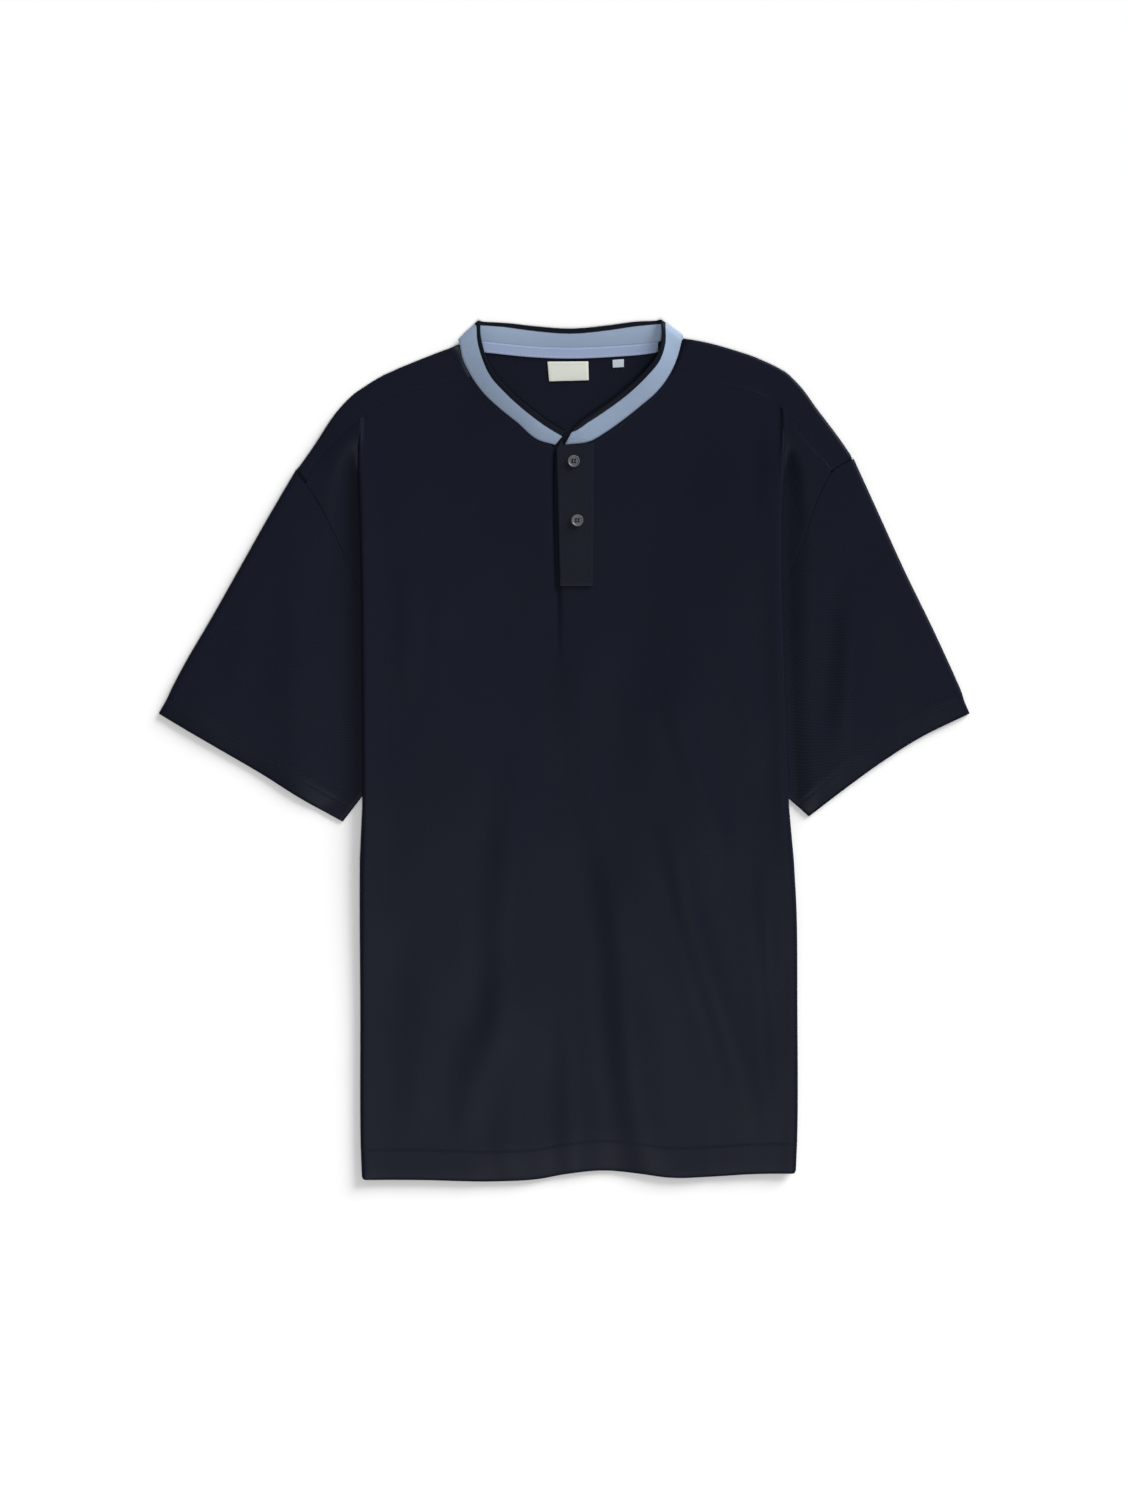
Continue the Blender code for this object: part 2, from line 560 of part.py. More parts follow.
def shoulder_wrap(grid, side):
    """The back panel's roll over a shoulder, from its edge to the forward seam."""
    side_points = ROLL_STEPS + STRIP_STEPS + LIP_STEPS + RETURN_STEPS
    top, last = grid[-1], len(grid[-1]) - 1
    if side < 0:
        edge = [top[k] for k in range(side_points + BACK_SHOULDER, -1, -1)]
    else:
        edge = [top[k] for k in range(last - side_points - BACK_SHOULDER, last + 1)]
    lowest = (EDGE_PAST_RIGHT if side < 0 else EDGE_PAST_LEFT)[-1][1]
    for row in grid[-2::-1]:
        end = row[0] if side < 0 else row[-1]
        if end is None or end[1] < lowest:
            break
        edge.append(end)
    seam = forward_seam(side)
    armhole = ARMHOLE_RIGHT if side < 0 else ARMHOLE_LEFT
    run = Vector(seam[-1]) - Vector(armhole[0])
    inward = Vector((-run.y, run.x)).normalized() * -side * ARMHOLE_SEAM
    corner = Vector(armhole[0]) + run * CORNER_SHARE + inward
    edge.append((*corner, past_under(side, *corner) + CLOTH / 2))
    lengths = [0.0]
    for a, b in zip(edge, edge[1:]):
        lengths.append(lengths[-1] + math.dist(a[:2], b[:2]))
    neck = [p for p in FRONT_NECK if side * p[0] > NECK_SIDES]
    wrap = []
    for k, (start, length) in enumerate(zip(edge, lengths)):
        sx, sy = along(seam, length / lengths[-1])
        away = Vector((start[0] - sx, start[1] - sy)).normalized()
        target = (sx + away.x * SHOULDER_SEAM, sy + away.y * SHOULDER_SEAM)
        high = middle_top(start[0], start[1])
        radius = (high - start[2]) / 2
        row = [start]
        for j in range(1, ROLL_STEPS + 1):
            a = math.pi * j / ROLL_STEPS
            out = away * radius * math.sin(a)
            row.append((start[0] + out.x, start[1] + out.y, start[2] + radius * (1 - math.cos(a))))
        for share in WRAP_STEPS:
            x, y = (blend(p, q, share) for p, q in zip(start, target))
            if k == 0:
                x = x_on(neck, y)
            row.append((x, y, middle_top(x, y)))
        wrap.append(row)
    return wrap


# ---------------------------------------------------------------------------------------------------------
# Sleeves: rings from the armhole to the cuff

SLEEVE_RINGS = (0.0, 0.12, 0.26, 0.41, 0.56, 0.7, 0.82, 0.91, 1.0)
SLEEVE_UPPER, SLEEVE_LOWER, SLEEVE_ROLL = 10, 10, 3
NEAR = 0.01            # a small share of a sleeve's length or width, to find its direction or edge height


def sleeve_plan(side, t, v):
    """Point of the flat sleeve: t from armhole to cuff, v from the outer fold to the underarm."""
    armhole = ARMHOLE_RIGHT if side < 0 else ARMHOLE_LEFT
    cuff = CUFF_RIGHT if side < 0 else CUFF_LEFT
    outer = OUTER_RIGHT if side < 0 else OUTER_LEFT
    under = (armhole[-1], cuff[-1])
    point = []
    for k in range(2):
        edges = (1 - v) * along(outer, t)[k] + v * along(under, t)[k]
        ends = (1 - t) * along(armhole, v)[k] + t * along(cuff, v)[k]
        corners = ((1 - t) * ((1 - v) * armhole[0][k] + v * armhole[-1][k])
                   + t * ((1 - v) * cuff[0][k] + v * cuff[-1][k]))
        point.append(edges + ends - corners)
    if t == 0:
        x, y = sleeve_plan(side, NEAR, v)
        out = Vector((x - point[0], y - point[1])).normalized() * ARMHOLE_SEAM
        return point[0] + out.x, point[1] + out.y
    return tuple(point)


def sleeve_ring(side, t):
    """Closed section of a sleeve's middle surface."""
    width = math.dist(sleeve_plan(side, t, 0), sleeve_plan(side, t, 1))
    low = CLOTH / 2

    def upper(v):
        x, y = sleeve_plan(side, t, v)
        return x, y, past_top(side, x, min(y, LIP_TOP)) - CLOTH / 2

    radii = [(upper(v)[2] - low) / 2 for v in (2 * NEAR, 1 - 2 * NEAR)]
    first, last = (radii[0] + CLOTH / 2) / width, 1 - (radii[1] + CLOTH / 2) / width
    ring = [upper(blend(first, last, k / SLEEVE_UPPER)) for k in range(SLEEVE_UPPER + 1)]
    ring += roll_down(ring[-1], sleeve_plan(side, t, 1), low)
    for k in range(SLEEVE_LOWER + 1):
        ring.append((*sleeve_plan(side, t, blend(last, first, k / SLEEVE_LOWER)), low))
    ring += roll_down(ring[0], sleeve_plan(side, t, 0), low)[::-1]
    return ring


def roll_down(start, edge, low):
    """Points of the half round from a sleeve's upper layer to its lower one."""
    out = Vector((edge[0] - start[0], edge[1] - start[1])).normalized()
    radius = (start[2] - low) / 2
    points = []
    for k in range(1, SLEEVE_ROLL):
        a = math.pi * k / SLEEVE_ROLL
        r = radius * math.sin(a)
        points.append((start[0] + out.x * r, start[1] + out.y * r, low + radius * (1 + math.cos(a))))
    return points


# ---------------------------------------------------------------------------------------------------------
# Objects

def material(name):
    mat = bpy.data.materials.new(name)
    mat.use_nodes = True
    shader = mat.node_tree.nodes["Principled BSDF"]
    shader.inputs["Base Color"].default_value = (*COLOURS[name], 1)
    shader.inputs["Roughness"].default_value = 0.35 if name == "button" else 0.85
    shader.inputs["Metallic"].default_value = 0.0
    return mat


def loft(bm, rows, closed=False):
    """Faces between rows of points, leaving out the cells that lack a point."""
    made = [[bm.verts.new(Vector(p) * MM) if p else None for p in row] for row in rows]
    for low, high in zip(made, made[1:]):
        pairs = list(zip(low, high))
        if closed:
            pairs.append(pairs[0])
        for (a, d), (b, c) in zip(pairs, pairs[1:]):
            if a and b and c and d:
                bm.faces.new((a, b, c, d))


def finish(bm, name, colour, wall=0.0):
    """Make the object, with its wall on both sides of the middle surface."""
    bmesh.ops.remove_doubles(bm, verts=bm.verts, dist=MERGE * MM)
    bmesh.ops.dissolve_degenerate(bm, edges=bm.edges, dist=MERGE / 2 * MM)
    bmesh.ops.delete(bm, geom=[v for v in bm.verts if not v.link_faces], context="VERTS")
    bmesh.ops.recalc_face_normals(bm, faces=bm.faces)
    mesh = bpy.data.meshes.new(name)
    bm.to_mesh(mesh)
    bm.free()
    mesh.shade_smooth()
    mesh.materials.append(MATERIALS[colour])
    obj = bpy.data.objects.new(name, mesh)
    SHIRT.objects.link(obj)
    if wall:
        cloth = obj.modifiers.new("wall", "SOLIDIFY")
        cloth.thickness = wall * MM
        cloth.offset = 0
        cloth.use_rim = True
    return obj


def make_front():
    bm = bmesh.new()
    loft(bm, panel_grid(FRONT))
    return finish(bm, "front_panel", "navy", CLOTH)


def make_back():
    bm = bmesh.new()
    grid = panel_grid(BACK)
    loft(bm, grid)
    for side in (-1, 1):
        loft(bm, shoulder_wrap(grid, side))
    return finish(bm, "back_panel", "navy", CLOTH)


def make_sleeve(name, side):
    bm = bmesh.new()
    loft(bm, [sleeve_ring(side, t) for t in SLEEVE_RINGS], closed=True)
    return finish(bm, name, "navy", CLOTH)


def make_band():
    bm = bmesh.new()
    seam, tip = (band_path(0, len(BAND) - 1, edge) for edge in ("seam", "tip"))
    rows = [[tuple(blend(p, q, k / BAND_ROWS) for p, q in zip(s, t)) for k in range(BAND_ROWS + 1)]
            for s, t in zip(seam, tip)]
    loft(bm, rows)
    return finish(bm, "neck_band", "blue", BAND_CLOTH)


def inner_back(x, y):
    """Middle height of trim lying on the inside of the back."""
    return body_under(x, y) + CLOTH + LAYER_GAP + TRIM / 2


def make_tape():
    bm = bmesh.new()
    steps = 10
    rows = []
    for down in (0, TAPE_WIDTH):
        xs = [blend(*TAPE_ENDS, k / steps) for k in range(steps + 1)]
        ys = [back_neck(x) - down for x in xs]
        rows.append([(x, y, inner_back(x, y)) for x, y in zip(xs, ys)])
    loft(bm, rows)
    return finish(bm, "neck_tape", "blue", TRIM)


def make_label(name, corners):
    bm = bmesh.new()
    a, b, c, d = ((x, y, inner_back(x, y)) for x, y in corners)
    loft(bm, [[a, b], [d, c]])
    return finish(bm, name, "label", TRIM)


def make_placket():
    bm = bmesh.new()
    steps = 10
    rows = []
    for k in range(steps + 1):
        row = []
        for share, top in PLACKET_TOP:
            y = blend(PLACKET_LEFT[0][0], top, k / steps)
            x = blend(look_up(PLACKET_LEFT, y), look_up(PLACKET_RIGHT, y), share)
            row.append((x, y, body_top(x, y) + LAYER_GAP + PLACKET_CLOTH / 2))
        rows.append(row)
    loft(bm, rows)
    return finish(bm, "placket", "placket", PLACKET_CLOTH)


def make_button(name, x, y):
    """A turned button with a rim and four holes."""
    low = body_top(x, y) + LAYER_GAP + PLACKET_CLOTH + LAYER_GAP
    mesh = bpy.data.meshes.new(name)
    points = [Vector((BUTTON_RADIUS * r, 0, BUTTON_HEIGHT * h)) * MM for r, h in BUTTON_SECTION]
    mesh.from_pydata(points, [(k, k + 1) for k in range(len(points) - 1)], [])
    mesh.materials.append(MATERIALS["button"])
    button = bpy.data.objects.new(name, mesh)
    SHIRT.objects.link(button)
    button.location = Vector((x, y, low)) * MM
    screw = button.modifiers.new("turn", "SCREW")
    screw.steps = screw.render_steps = BUTTON_SIDES
    screw.use_merge_vertices = True
    screw.merge_threshold = MERGE * MM
    for k in range(BUTTON_HOLES):
        a = 2 * math.pi * (k + 0.5) / BUTTON_HOLES
        hole = (x + HOLE_CIRCLE * math.cos(a), y + HOLE_CIRCLE * math.sin(a), low + BUTTON_HEIGHT / 2)
        bpy.ops.mesh.primitive_cylinder_add(vertices=HOLE_SIDES, radius=HOLE_RADIUS * MM,
                                            depth=2 * BUTTON_HEIGHT * MM, location=Vector(hole) * MM)
        cutter = bpy.context.object
        cutter.name = f"{name}_hole_{k + 1}"
        cutter.hide_render = True
        cutter.display_type = "WIRE"
        for home in list(cutter.users_collection):
            home.objects.unlink(cutter)
        CUTTERS.objects.link(cutter)
        cut = button.modifiers.new(f"hole_{k + 1}", "BOOLEAN")
        cut.operation = "DIFFERENCE"
        cut.object = cutter
    return button


for old in list(bpy.data.objects):
    bpy.data.objects.remove(old)
SHIRT = bpy.data.collections.new("polo_shirt")
CUTTERS = bpy.data.collections.new("cutters")
bpy.context.scene.collection.children.link(SHIRT)
bpy.context.scene.collection.children.link(CUTTERS)
MATERIALS = {name: material(name) for name in COLOURS}

make_front()
make_back()
make_sleeve("sleeve_right", -1)
make_sleeve("sleeve_left", 1)
make_band()
make_tape()
make_placket()
for button_name, button_x, button_y in BUTTONS:
    make_button(button_name, button_x, button_y)
make_label("neck_label", LABEL)
make_label("size_label", SIZE_LABEL)
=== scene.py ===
"""Polo shirt with a stand-up band collar, laid flat with its front up.

Cloth, stitches, trims, light and camera. Tables are in millimetres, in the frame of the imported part: +Y from
the hem to the collar, +X to the wearer's left, the floor at z = 0. Meshes are made in metres. A side is -1 on
the wearer's right and 1 on the left.
"""

import math
from collections import namedtuple

import bmesh
import bpy
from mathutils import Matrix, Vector, noise


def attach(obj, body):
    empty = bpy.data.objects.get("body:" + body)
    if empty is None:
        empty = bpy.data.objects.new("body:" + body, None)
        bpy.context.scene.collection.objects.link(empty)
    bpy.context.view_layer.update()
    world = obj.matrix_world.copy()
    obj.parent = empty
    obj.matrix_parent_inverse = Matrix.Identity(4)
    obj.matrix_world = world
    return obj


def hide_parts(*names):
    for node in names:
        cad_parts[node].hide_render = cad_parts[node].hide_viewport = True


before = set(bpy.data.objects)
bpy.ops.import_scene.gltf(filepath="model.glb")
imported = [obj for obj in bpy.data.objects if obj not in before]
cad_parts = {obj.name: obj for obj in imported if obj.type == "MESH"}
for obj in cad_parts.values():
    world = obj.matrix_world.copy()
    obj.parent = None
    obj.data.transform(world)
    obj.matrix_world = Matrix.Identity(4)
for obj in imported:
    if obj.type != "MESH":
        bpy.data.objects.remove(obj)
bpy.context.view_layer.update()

MM = 0.001

# ---------------------------------------------------------------------------------------------------------
# Sizes of the cloth and of the lying shirt

CLOTH = 1.2            # the room that one wall takes in the layers
WALL = 1.1             # thickness of the pique wall
HEM_WALL = 1.5         # thickness where a hem is turned up
LAYER_GAP = 0.5
STEP = CLOTH + LAYER_GAP
TRIM = 1.0

CENTRE_TOP = 6.4       # top of the front panel down the middle
STRIP_LIFT = 0.6       # how much higher the front is over the tucked strips
SIDE_BULGE = 1.8       # how much the side folds stand up
BULGE_REACH = 15.0     # and how far in they do
SLEEVE_TOGETHER = 3.5  # height of a flat sleeve's two layers
TUCK_EDGE = 2.0        # the slopes over a tucked strip begin this far past its edge
PLATEAU_SLOPE = 34.0   # distance over which the lower layers come down from a tucked strip
FRONT_SLOPE = 100.0    # distance over which the front comes down from the tucked strips to the middle
FRONT_BASE = (-270, -40)               # the front comes down from above the sleeves between these rows
SLEEVE_NEAR = 2.9      # top of a sleeve beside the body
SLEEVE_FAR = 7.0       # top of a sleeve away from the body
SLEEVE_FLAT = {-1: 16.0, 1: 6.0}       # it stays low this far beside the body
SLEEVE_RISE = {-1: 56.0, 1: 24.0}      # and rises over this distance
EARLY_RISE = 0.7       # share of that rise that sets off at once
SHOULDER_EASE = 110.0  # away from the side fold, the shoulder begins to rise this much lower
EASE_REACH = 34.0      # which sets in over this distance
SHOULDER_REACH = 24.0  # how far past the side fold the shoulder's top keeps the body's height
UNDER_REACH = 16.0     # and how far its underside does

# Sides of the body. y: place along the body; right, left: the side folds; right_tuck, left_tuck: width of the
# strips folded under; base: height of the strips' underside
Side = namedtuple("Side", "y right left right_tuck left_tuck base")
SIDES = (
    Side(-412, -193.5, 222.0, 100, 104, 0.0),
    Side(-380, -194.7, 223.3, 98, 103, 0.0),
    Side(-260, -195.0, 223.5, 92, 99, 0.0),
    Side(-150, -194.6, 221.5, 85, 95, 0.0),
    Side(-105, -194.0, 218.5, 81, 92, 0.0),
    Side(-55, -193.0, 215.3, 76, 88, 3.5),
    Side(35, -193.0, 212.0, 67, 80, 3.5),
    Side(110, -193.6, 209.5, 40, 44, 3.5),
    Side(178, -194.5, 208.0, 27, 30, 3.5),
    Side(235, -196.0, 208.8, 15, 16, 3.5),
    Side(268, -197.6, 211.2, 4.6, 4.6, 3.6),
    Side(304, -198.5, 213.5, 4.6, 4.6, 3.6),
    Side(340, -198.5, 213.5, 4.6, 4.6, 3.6),
)
APEX = 304             # the side folds run out here, below the shoulders
LIP_TOP = 268          # highest row that is folded under
TAPER = (250, 338)     # the tucked layers thin out between these rows
ROLL_START = 4.6       # the roll at a side fold begins this far in
RETURN_FROM = 60       # below this row a tucked strip ends at the side seam
SQUARE_TO = 150        # rows run straight across up to here, and follow the top edges above

HEM = ((-200, -410.5), (-140, -410.6), (-60, -412.0), (-22, -409.6), (0, -405.5), (36, -401.9), (72, -404.8),
       (100, -408.4), (140, -407.6), (175, -405.3), (230, -404.4))
HEM_CORNER = 9.0       # the tucked strips' hem lies this much further up
HEM_DEPTH = 28.0       # turned hem of the body
CUFF_DEPTH = 21.0      # turned hem of a sleeve
FRONT_SEAM_RIGHT = ((-200, 311.6), (-188, 321.0), (-176, 330.0), (-160, 340.3), (-137, 346.4), (-115, 351.2),
                    (-80, 359.0))
FRONT_SEAM_LEFT = ((90, 361.8), (101.5, 359.6), (130, 354.1), (160, 348.2), (186, 341.6), (204, 331.2),
                   (214, 319.6))
SHOULDER_RIGHT = ((-198.5, 342.4), (-175.6, 357.0), (-156.5, 365.6), (-140.2, 372.3), (-125.8, 378.0),
                  (-113.4, 382.8), (-101.8, 388.2))
SHOULDER_LEFT = ((116.2, 393.8), (124, 392.4), (137.3, 389.5), (151.7, 385.7), (176.6, 378.0), (190.9, 372.3),
                 (207.2, 364.6), (213.5, 360.2))
NECK_CORNERS = (-89.2, 101.6)     # where the forward shoulder seams meet the band
NECK_CENTRE = (6.0, 345.0)

# Forward shoulder seams and shoulder edges past the side folds, from the fold to the armhole
SEAM_PAST_RIGHT = ((-198.5, 312.8), (-204.3, 308.2), (-223.5, 289.0), (-240.0, 271.0), (-247.8, 255.0))
SEAM_PAST_LEFT = ((213.5, 319.9), (226.3, 300.5), (240.7, 284.2), (250.0, 275.0), (256.6, 265.8))
EDGE_PAST_RIGHT = ((-198.5, 342.4), (-214.8, 326.3), (-226.3, 311.0), (-235.9, 295.7), (-246.4, 280.4),
                   (-255.2, 268.0))
EDGE_PAST_LEFT = ((213.5, 360.2), (231.1, 341.6), (241.6, 326.3), (253.1, 311.0), (264.6, 295.7),
                  (275.4, 280.0))

# Sleeves: armhole from the shoulder edge to the armpit, the outer fold and the cuff
ARMHOLE_RIGHT = ((-257.0, 266.4), (-247.8, 255.0), (-236.8, 240.2), (-225.4, 219.1), (-213.9, 195.2),
                 (-202, 168), (-187, 140), (-169, 112), (-148, 76), (-127, 41))
ARMHOLE_LEFT = ((277.0, 278.4), (256.6, 265.8), (245.5, 246.0), (237.8, 227.0), (227.3, 197.1),
                (214, 168), (196, 138), (178, 112), (155, 70), (132, 27))
OUTER_RIGHT = ((-257.0, 266.4), (-284.7, 219.1), (-310.5, 173.2), (-336.4, 127.3), (-363.2, 81.3),
               (-375.6, 57.5), (-379.0, 50.0), (-387.6, 35.0))
OUTER_LEFT = ((277.0, 278.4), (297.1, 234.5), (324.9, 173.2), (354.6, 112.0), (375.6, 66.0),
              (380.4, 54.6), (382.4, 48.0), (388.0, 35.0))
CUFF_RIGHT = ((-387.6, 35.0), (-367.0, 22.6), (-329, 0.4), (-290.5, -22.0), (-252.0, -46.2), (-211.6, -68.6))
CUFF_LEFT = ((388.0, 35.0), (370, 26.6), (345, 14.4), (303.0, -12.0), (263.0, -41.2), (234.0, -63.6))

# Neck band: stations from its right front end round the back to its left front end.
# sx, sy, sz: the seamed edge; tx, ty, tz: the tipped edge
Band = namedtuple("Band", "sx sy sz tx ty tz")
BAND = (
    Band(-8.3, 291.6, 6.2, 1.5, 303.0, 9.4),
    Band(-24.5, 296.4, 6.0, -15.5, 313.4, 11.2),
    Band(-45.3, 313.6, 5.8, -37.0, 329.6, 12.6),
    Band(-61.7, 326.8, 5.8, -54.5, 345.4, 13.6),
    Band(-77.6, 342.2, 5.8, -68.0, 361.0, 14.0),
    Band(-90.0, 360.0, 5.8, -76.0, 380.0, 13.6),
    Band(-97.0, 375.0, 5.7, -79.6, 396.0, 11.8),
    Band(-99.6, 388.4, 5.4, -80.2, 408.4, 9.6),
    Band(-100.6, 392.2, 3.3, -81.4, 410.2, 6.8),
    Band(-97.0, 392.0, 1.4, -78.2, 409.6, 4.2),
    Band(-70.0, 389.4, 1.4, -55.0, 408.2, 3.6),
    Band(-35.0, 385.8, 1.4, -28.0, 405.2, 4.0),
    Band(6.0, 384.2, 1.4, 6.0, 402.8, 4.2),
    Band(47.0, 385.8, 1.4, 41.0, 405.8, 4.0),
    Band(80.0, 388.6, 1.4, 68.0, 409.4, 3.6),
    Band(109.0, 394.6, 1.4, 88.6, 410.4, 4.2),
    Band(113.6, 395.6, 3.3, 92.0, 410.8, 6.8),
    Band(112.4, 391.6, 5.4, 92.6, 407.4, 9.6),
    Band(108.6, 377.0, 5.7, 93.0, 392.0, 12.2),
    Band(101.6, 360.6, 5.8, 88.2, 375.4, 14.0),
    Band(88.6, 342.4, 5.8, 75.0, 358.8, 14.4),
    Band(73.2, 328.9, 5.8, 60.0, 344.6, 13.8),
    Band(56.0, 315.2, 5.8, 44.0, 332.2, 12.8),
    Band(39.4, 303.4, 6.0, 28.0, 321.4, 11.6),
    Band(25.0, 295.0, 6.2, 15.6, 313.0, 10.7),
    Band(0.9, 291.6, 6.4, 9.4, 307.4, 10.2),
)
BAND_CORNER_RIGHT = 8  # stations at the middle of the two shoulder corners
BAND_CORNER_LEFT = 16
BAND_TILT = 0.75       # on the wearer's right the knit has settled to this share of the table's heights
TIPPING = 5.0          # width of the navy edge of the band

TAPE_ENDS = (-80, 90)
TAPE_WIDTH = 10.5
LABEL = ((-15.8, 371.4), (23.2, 371.6), (23.6, 353.6), (-14.2, 352.6))
SIZE_LABEL = ((46.4, 373.0), (57.2, 373.8), (57.2, 366.2), (46.6, 365.6))

PLACKET_LEFT = ((156.4, -3.9), (287.4, -7.0))      # (y, x) along its free edge
PLACKET_RIGHT = ((156.4, 27.8), (294.0, 28.6))
PLACKET_TOP = ((0.0, 287.4), (0.12, 296.0), (0.19, 290.8), (0.6, 291.4), (1.0, 293.4))   # (share across, y)
PLACKET_CLOTH = 1.6
BUTTONS = (("button_top", 9.3, 275.6), ("button_bottom", 12.7, 219.0))
BUTTON_RADIUS = 5.7
BUTTON_HEIGHT = 2.2

# Creases of the front and the sleeves. Each path is the steep side of a fold, and width is how far off the
# fold's crest and the trough beside it lie. ridge and trough are the crest's height and the trough's depth. A
# path that runs on past the hem keeps its crease full at the hem
Crease = namedtuple("Crease", "path width ridge trough")
BODY_CREASES = (
    # long ones, from the chest down
    Crease(((-42, 75), (-48, 8), (-61, -65), (-68, -154), (-73, -243), (-94, -310), (-126, -400)),
           18, 1.5, 0.8),
    Crease(((-6, 190), (-3, 137), (2, 48), (18, -65), (38, -150), (46, -251), (57, -348), (90, -500)),
           16, 1.0, 0.5),
    Crease(((22, -60), (40, -150), (46, -251), (57, -348), (71, -420), (105, -640)), 22, 1.3, 0.6),
    Crease(((84, 90), (97, 40), (117, -25), (137, -80), (146, -150)), 12, 1.1, 0.5),
    Crease(((80, -20), (92, -73), (109, -155), (134, -234), (162, -324), (180, -400)), 13, 1.4, 0.7),
    Crease(((140, 130), (150, 89), (166, 40), (182, -40)), 11, 0.9, 0.5),
    Crease(((178, -50), (182, -105), (190, -202), (198, -300), (204, -400)), 10, 0.9, 0.5),
    Crease(((-6, -190), (-5, -260), (-3, -340), (-2, -400), (0, -560)), 16, 1.1, 0.5),
    # faint ones over the wearer's right, and near the hem
    Crease(((-157, 180), (-156, 120), (-154, 50)), 9, 0.4, 0.3),
    Crease(((-122, 180), (-123, 120), (-125, 50)), 9, 0.4, 0.3),
    Crease(((-140, -120), (-150, -270), (-155, -400)), 16, 0.35, 0.2),
    Crease(((-112, -60), (-108, -150), (-103, -215), (-101, -300), (-99, -440)), 12, 0.2, 0.15),
    Crease(((-55, -250), (-60, -350), (-62, -440), (-64, -540)), 16, 0.6, 0.2),
    Crease(((140, -290), (150, -370), (156, -440), (160, -520)), 12, 0.3, 0.6),
    # the shoulder's and the placket's free edge's
    Crease(((186, 325), (190, 270), (186, 200)), 8, 0.5, 0.6),
    Crease(((-4.4, 420), (-4.6, 290), (-5.4, 235), (-4.6, 190), (-3.2, 90)), 3.2, 0.0, 4.4),
    Crease(((190, 348), (200, 336), (211, 320)), 6, 0.5, 0.4),
)
SLEEVE_CREASES = (
    Crease(((263, 175), (263, 90), (258, 30), (254, -20)), 14, 2.2, 1.4),
    Crease(((312, 130), (316, 70), (320, 10)), 13, 0.4, 0.2),
    Crease(((-262, 180), (-268, 100), (-272, 20)), 14, 0.3, 0.2),
    Crease(((-310, 130), (-322, 80), (-328, 30)), 14, 0.3, 0.2),
)
CREASE_REACH = 3.2     # a crease acts within this many of its widths
CREASE_SPREAD = 0.8    # its crest and trough lie this many widths off its path
CREASE_ENDS = 2.6      # how fast it grows from its ends, over their share of its length
CREASE_LEAST = 0.1     # share of its height that it has at its very ends
TROUGH_ROOM = (4.0, 1.5)   # the deepest that the front may sink: in the middle, and over the tucked strips
CALM_SIDE = 26.0       # the front's creases set in over this distance from the side folds
CALM_TOP, CALM_NECK = 400, 80          # and fade out below this row, over this distance
CALM_LEAST = 0.25      # share of them that is left there
BACK_CREASE, BACK_TROUGH = 0.25, 1.6   # the back follows this share of the front's troughs, to this depth
BODY_WAVES, SLEEVE_WAVES, PLACKET_WAVES = (55, 0.9), (45, 0.7), (25, 0.25)     # unevenness: scale, height
WAVE_STRETCH = 1.6     # unevenness is this much longer along the body
WAVE_SLICE = 3.7       # where the noise behind it is cut


# ---------------------------------------------------------------------------------------------------------
# Curves and interpolation

def smooth(t):
    """0 below 0, 1 above 1, and a soft step between."""
    t = min(1.0, max(0.0, t))
    return t * t * (3 - 2 * t)


def quick_start(t):
    """0 below 0, 1 above 1: it sets off at once, and ends softly."""
    t = min(1.0, max(0.0, t))
    return blend(smooth(t), t * (2 - t), EARLY_RISE)


def blend(a, b, t):
    return a + (b - a) * t


def look_up(rows, x):
    """Value at x of a curve through (x, value) rows, straight between them."""
    if x <= rows[0][0]:
        return rows[0][1]
    for (x0, v0), (x1, v1) in zip(rows, rows[1:]):
        if x <= x1:
            return v0 + (v1 - v0) * (x - x0) / (x1 - x0)
    return rows[-1][1]


def along(points, t):
    """Point at the share t of the length of a path."""
    lengths = [math.dist(a, b) for a, b in zip(points, points[1:])]
    left = min(1.0, max(0.0, t)) * sum(lengths)
    for a, b, length in zip(points, points[1:], lengths):
        if left <= length:
            return tuple(blend(p, q, left / length) for p, q in zip(a, b))
        left -= length
    return tuple(points[-1])


def rounded(points, steps):
    """A smooth path through the points, whose slopes allow for their uneven spacing."""
    points = [Vector(p) for p in points]
    gaps = [(b - a).length for a, b in zip(points, points[1:])]
    runs = [(b - a) / gap for a, b, gap in zip(points, points[1:], gaps)]
    slopes = [runs[0]]
    for before, after, gap, next_gap in zip(runs, runs[1:], gaps, gaps[1:]):
        slopes.append((before * next_gap + after * gap) / (gap + next_gap))
    slopes.append(runs[-1])
    path = []
    for k, (a, b, gap) in enumerate(zip(points, points[1:], gaps)):
        leave = slopes[k] * min(gap, 2 * gaps[max(k - 1, 0)])
        arrive = slopes[k + 1] * min(gap, 2 * gaps[min(k + 1, len(gaps) - 1)])
        for step in range(steps):
            t = step / steps
            bend = (leave * (1 - t) - arrive * t) * t * (1 - t)
            path.append(tuple(a + (b - a) * t * t * (3 - 2 * t) + bend))
    return [*path, tuple(points[-1])]


def subdivided(stops, most):
    """The stops with evenly spaced values between them, none further apart than most."""
    values = []
    for a, b in zip(stops, stops[1:]):
        n = max(1, math.ceil(abs(b - a) / most))
        values += [blend(a, b, k / n) for k in range(n)]
    return [*values, stops[-1]]


SIDE_CURVES = {name: [(row.y, getattr(row, name)) for row in SIDES] for name in Side._fields[1:]}


def fold_x(side, y):
    return look_up(SIDE_CURVES["right" if side < 0 else "left"], y)


def tuck(side, y):
    return look_up(SIDE_CURVES["right_tuck" if side < 0 else "left_tuck"], y)


def base(y):
    return look_up(SIDE_CURVES["base"], y)


# ---------------------------------------------------------------------------------------------------------
# Heights of the lying cloth

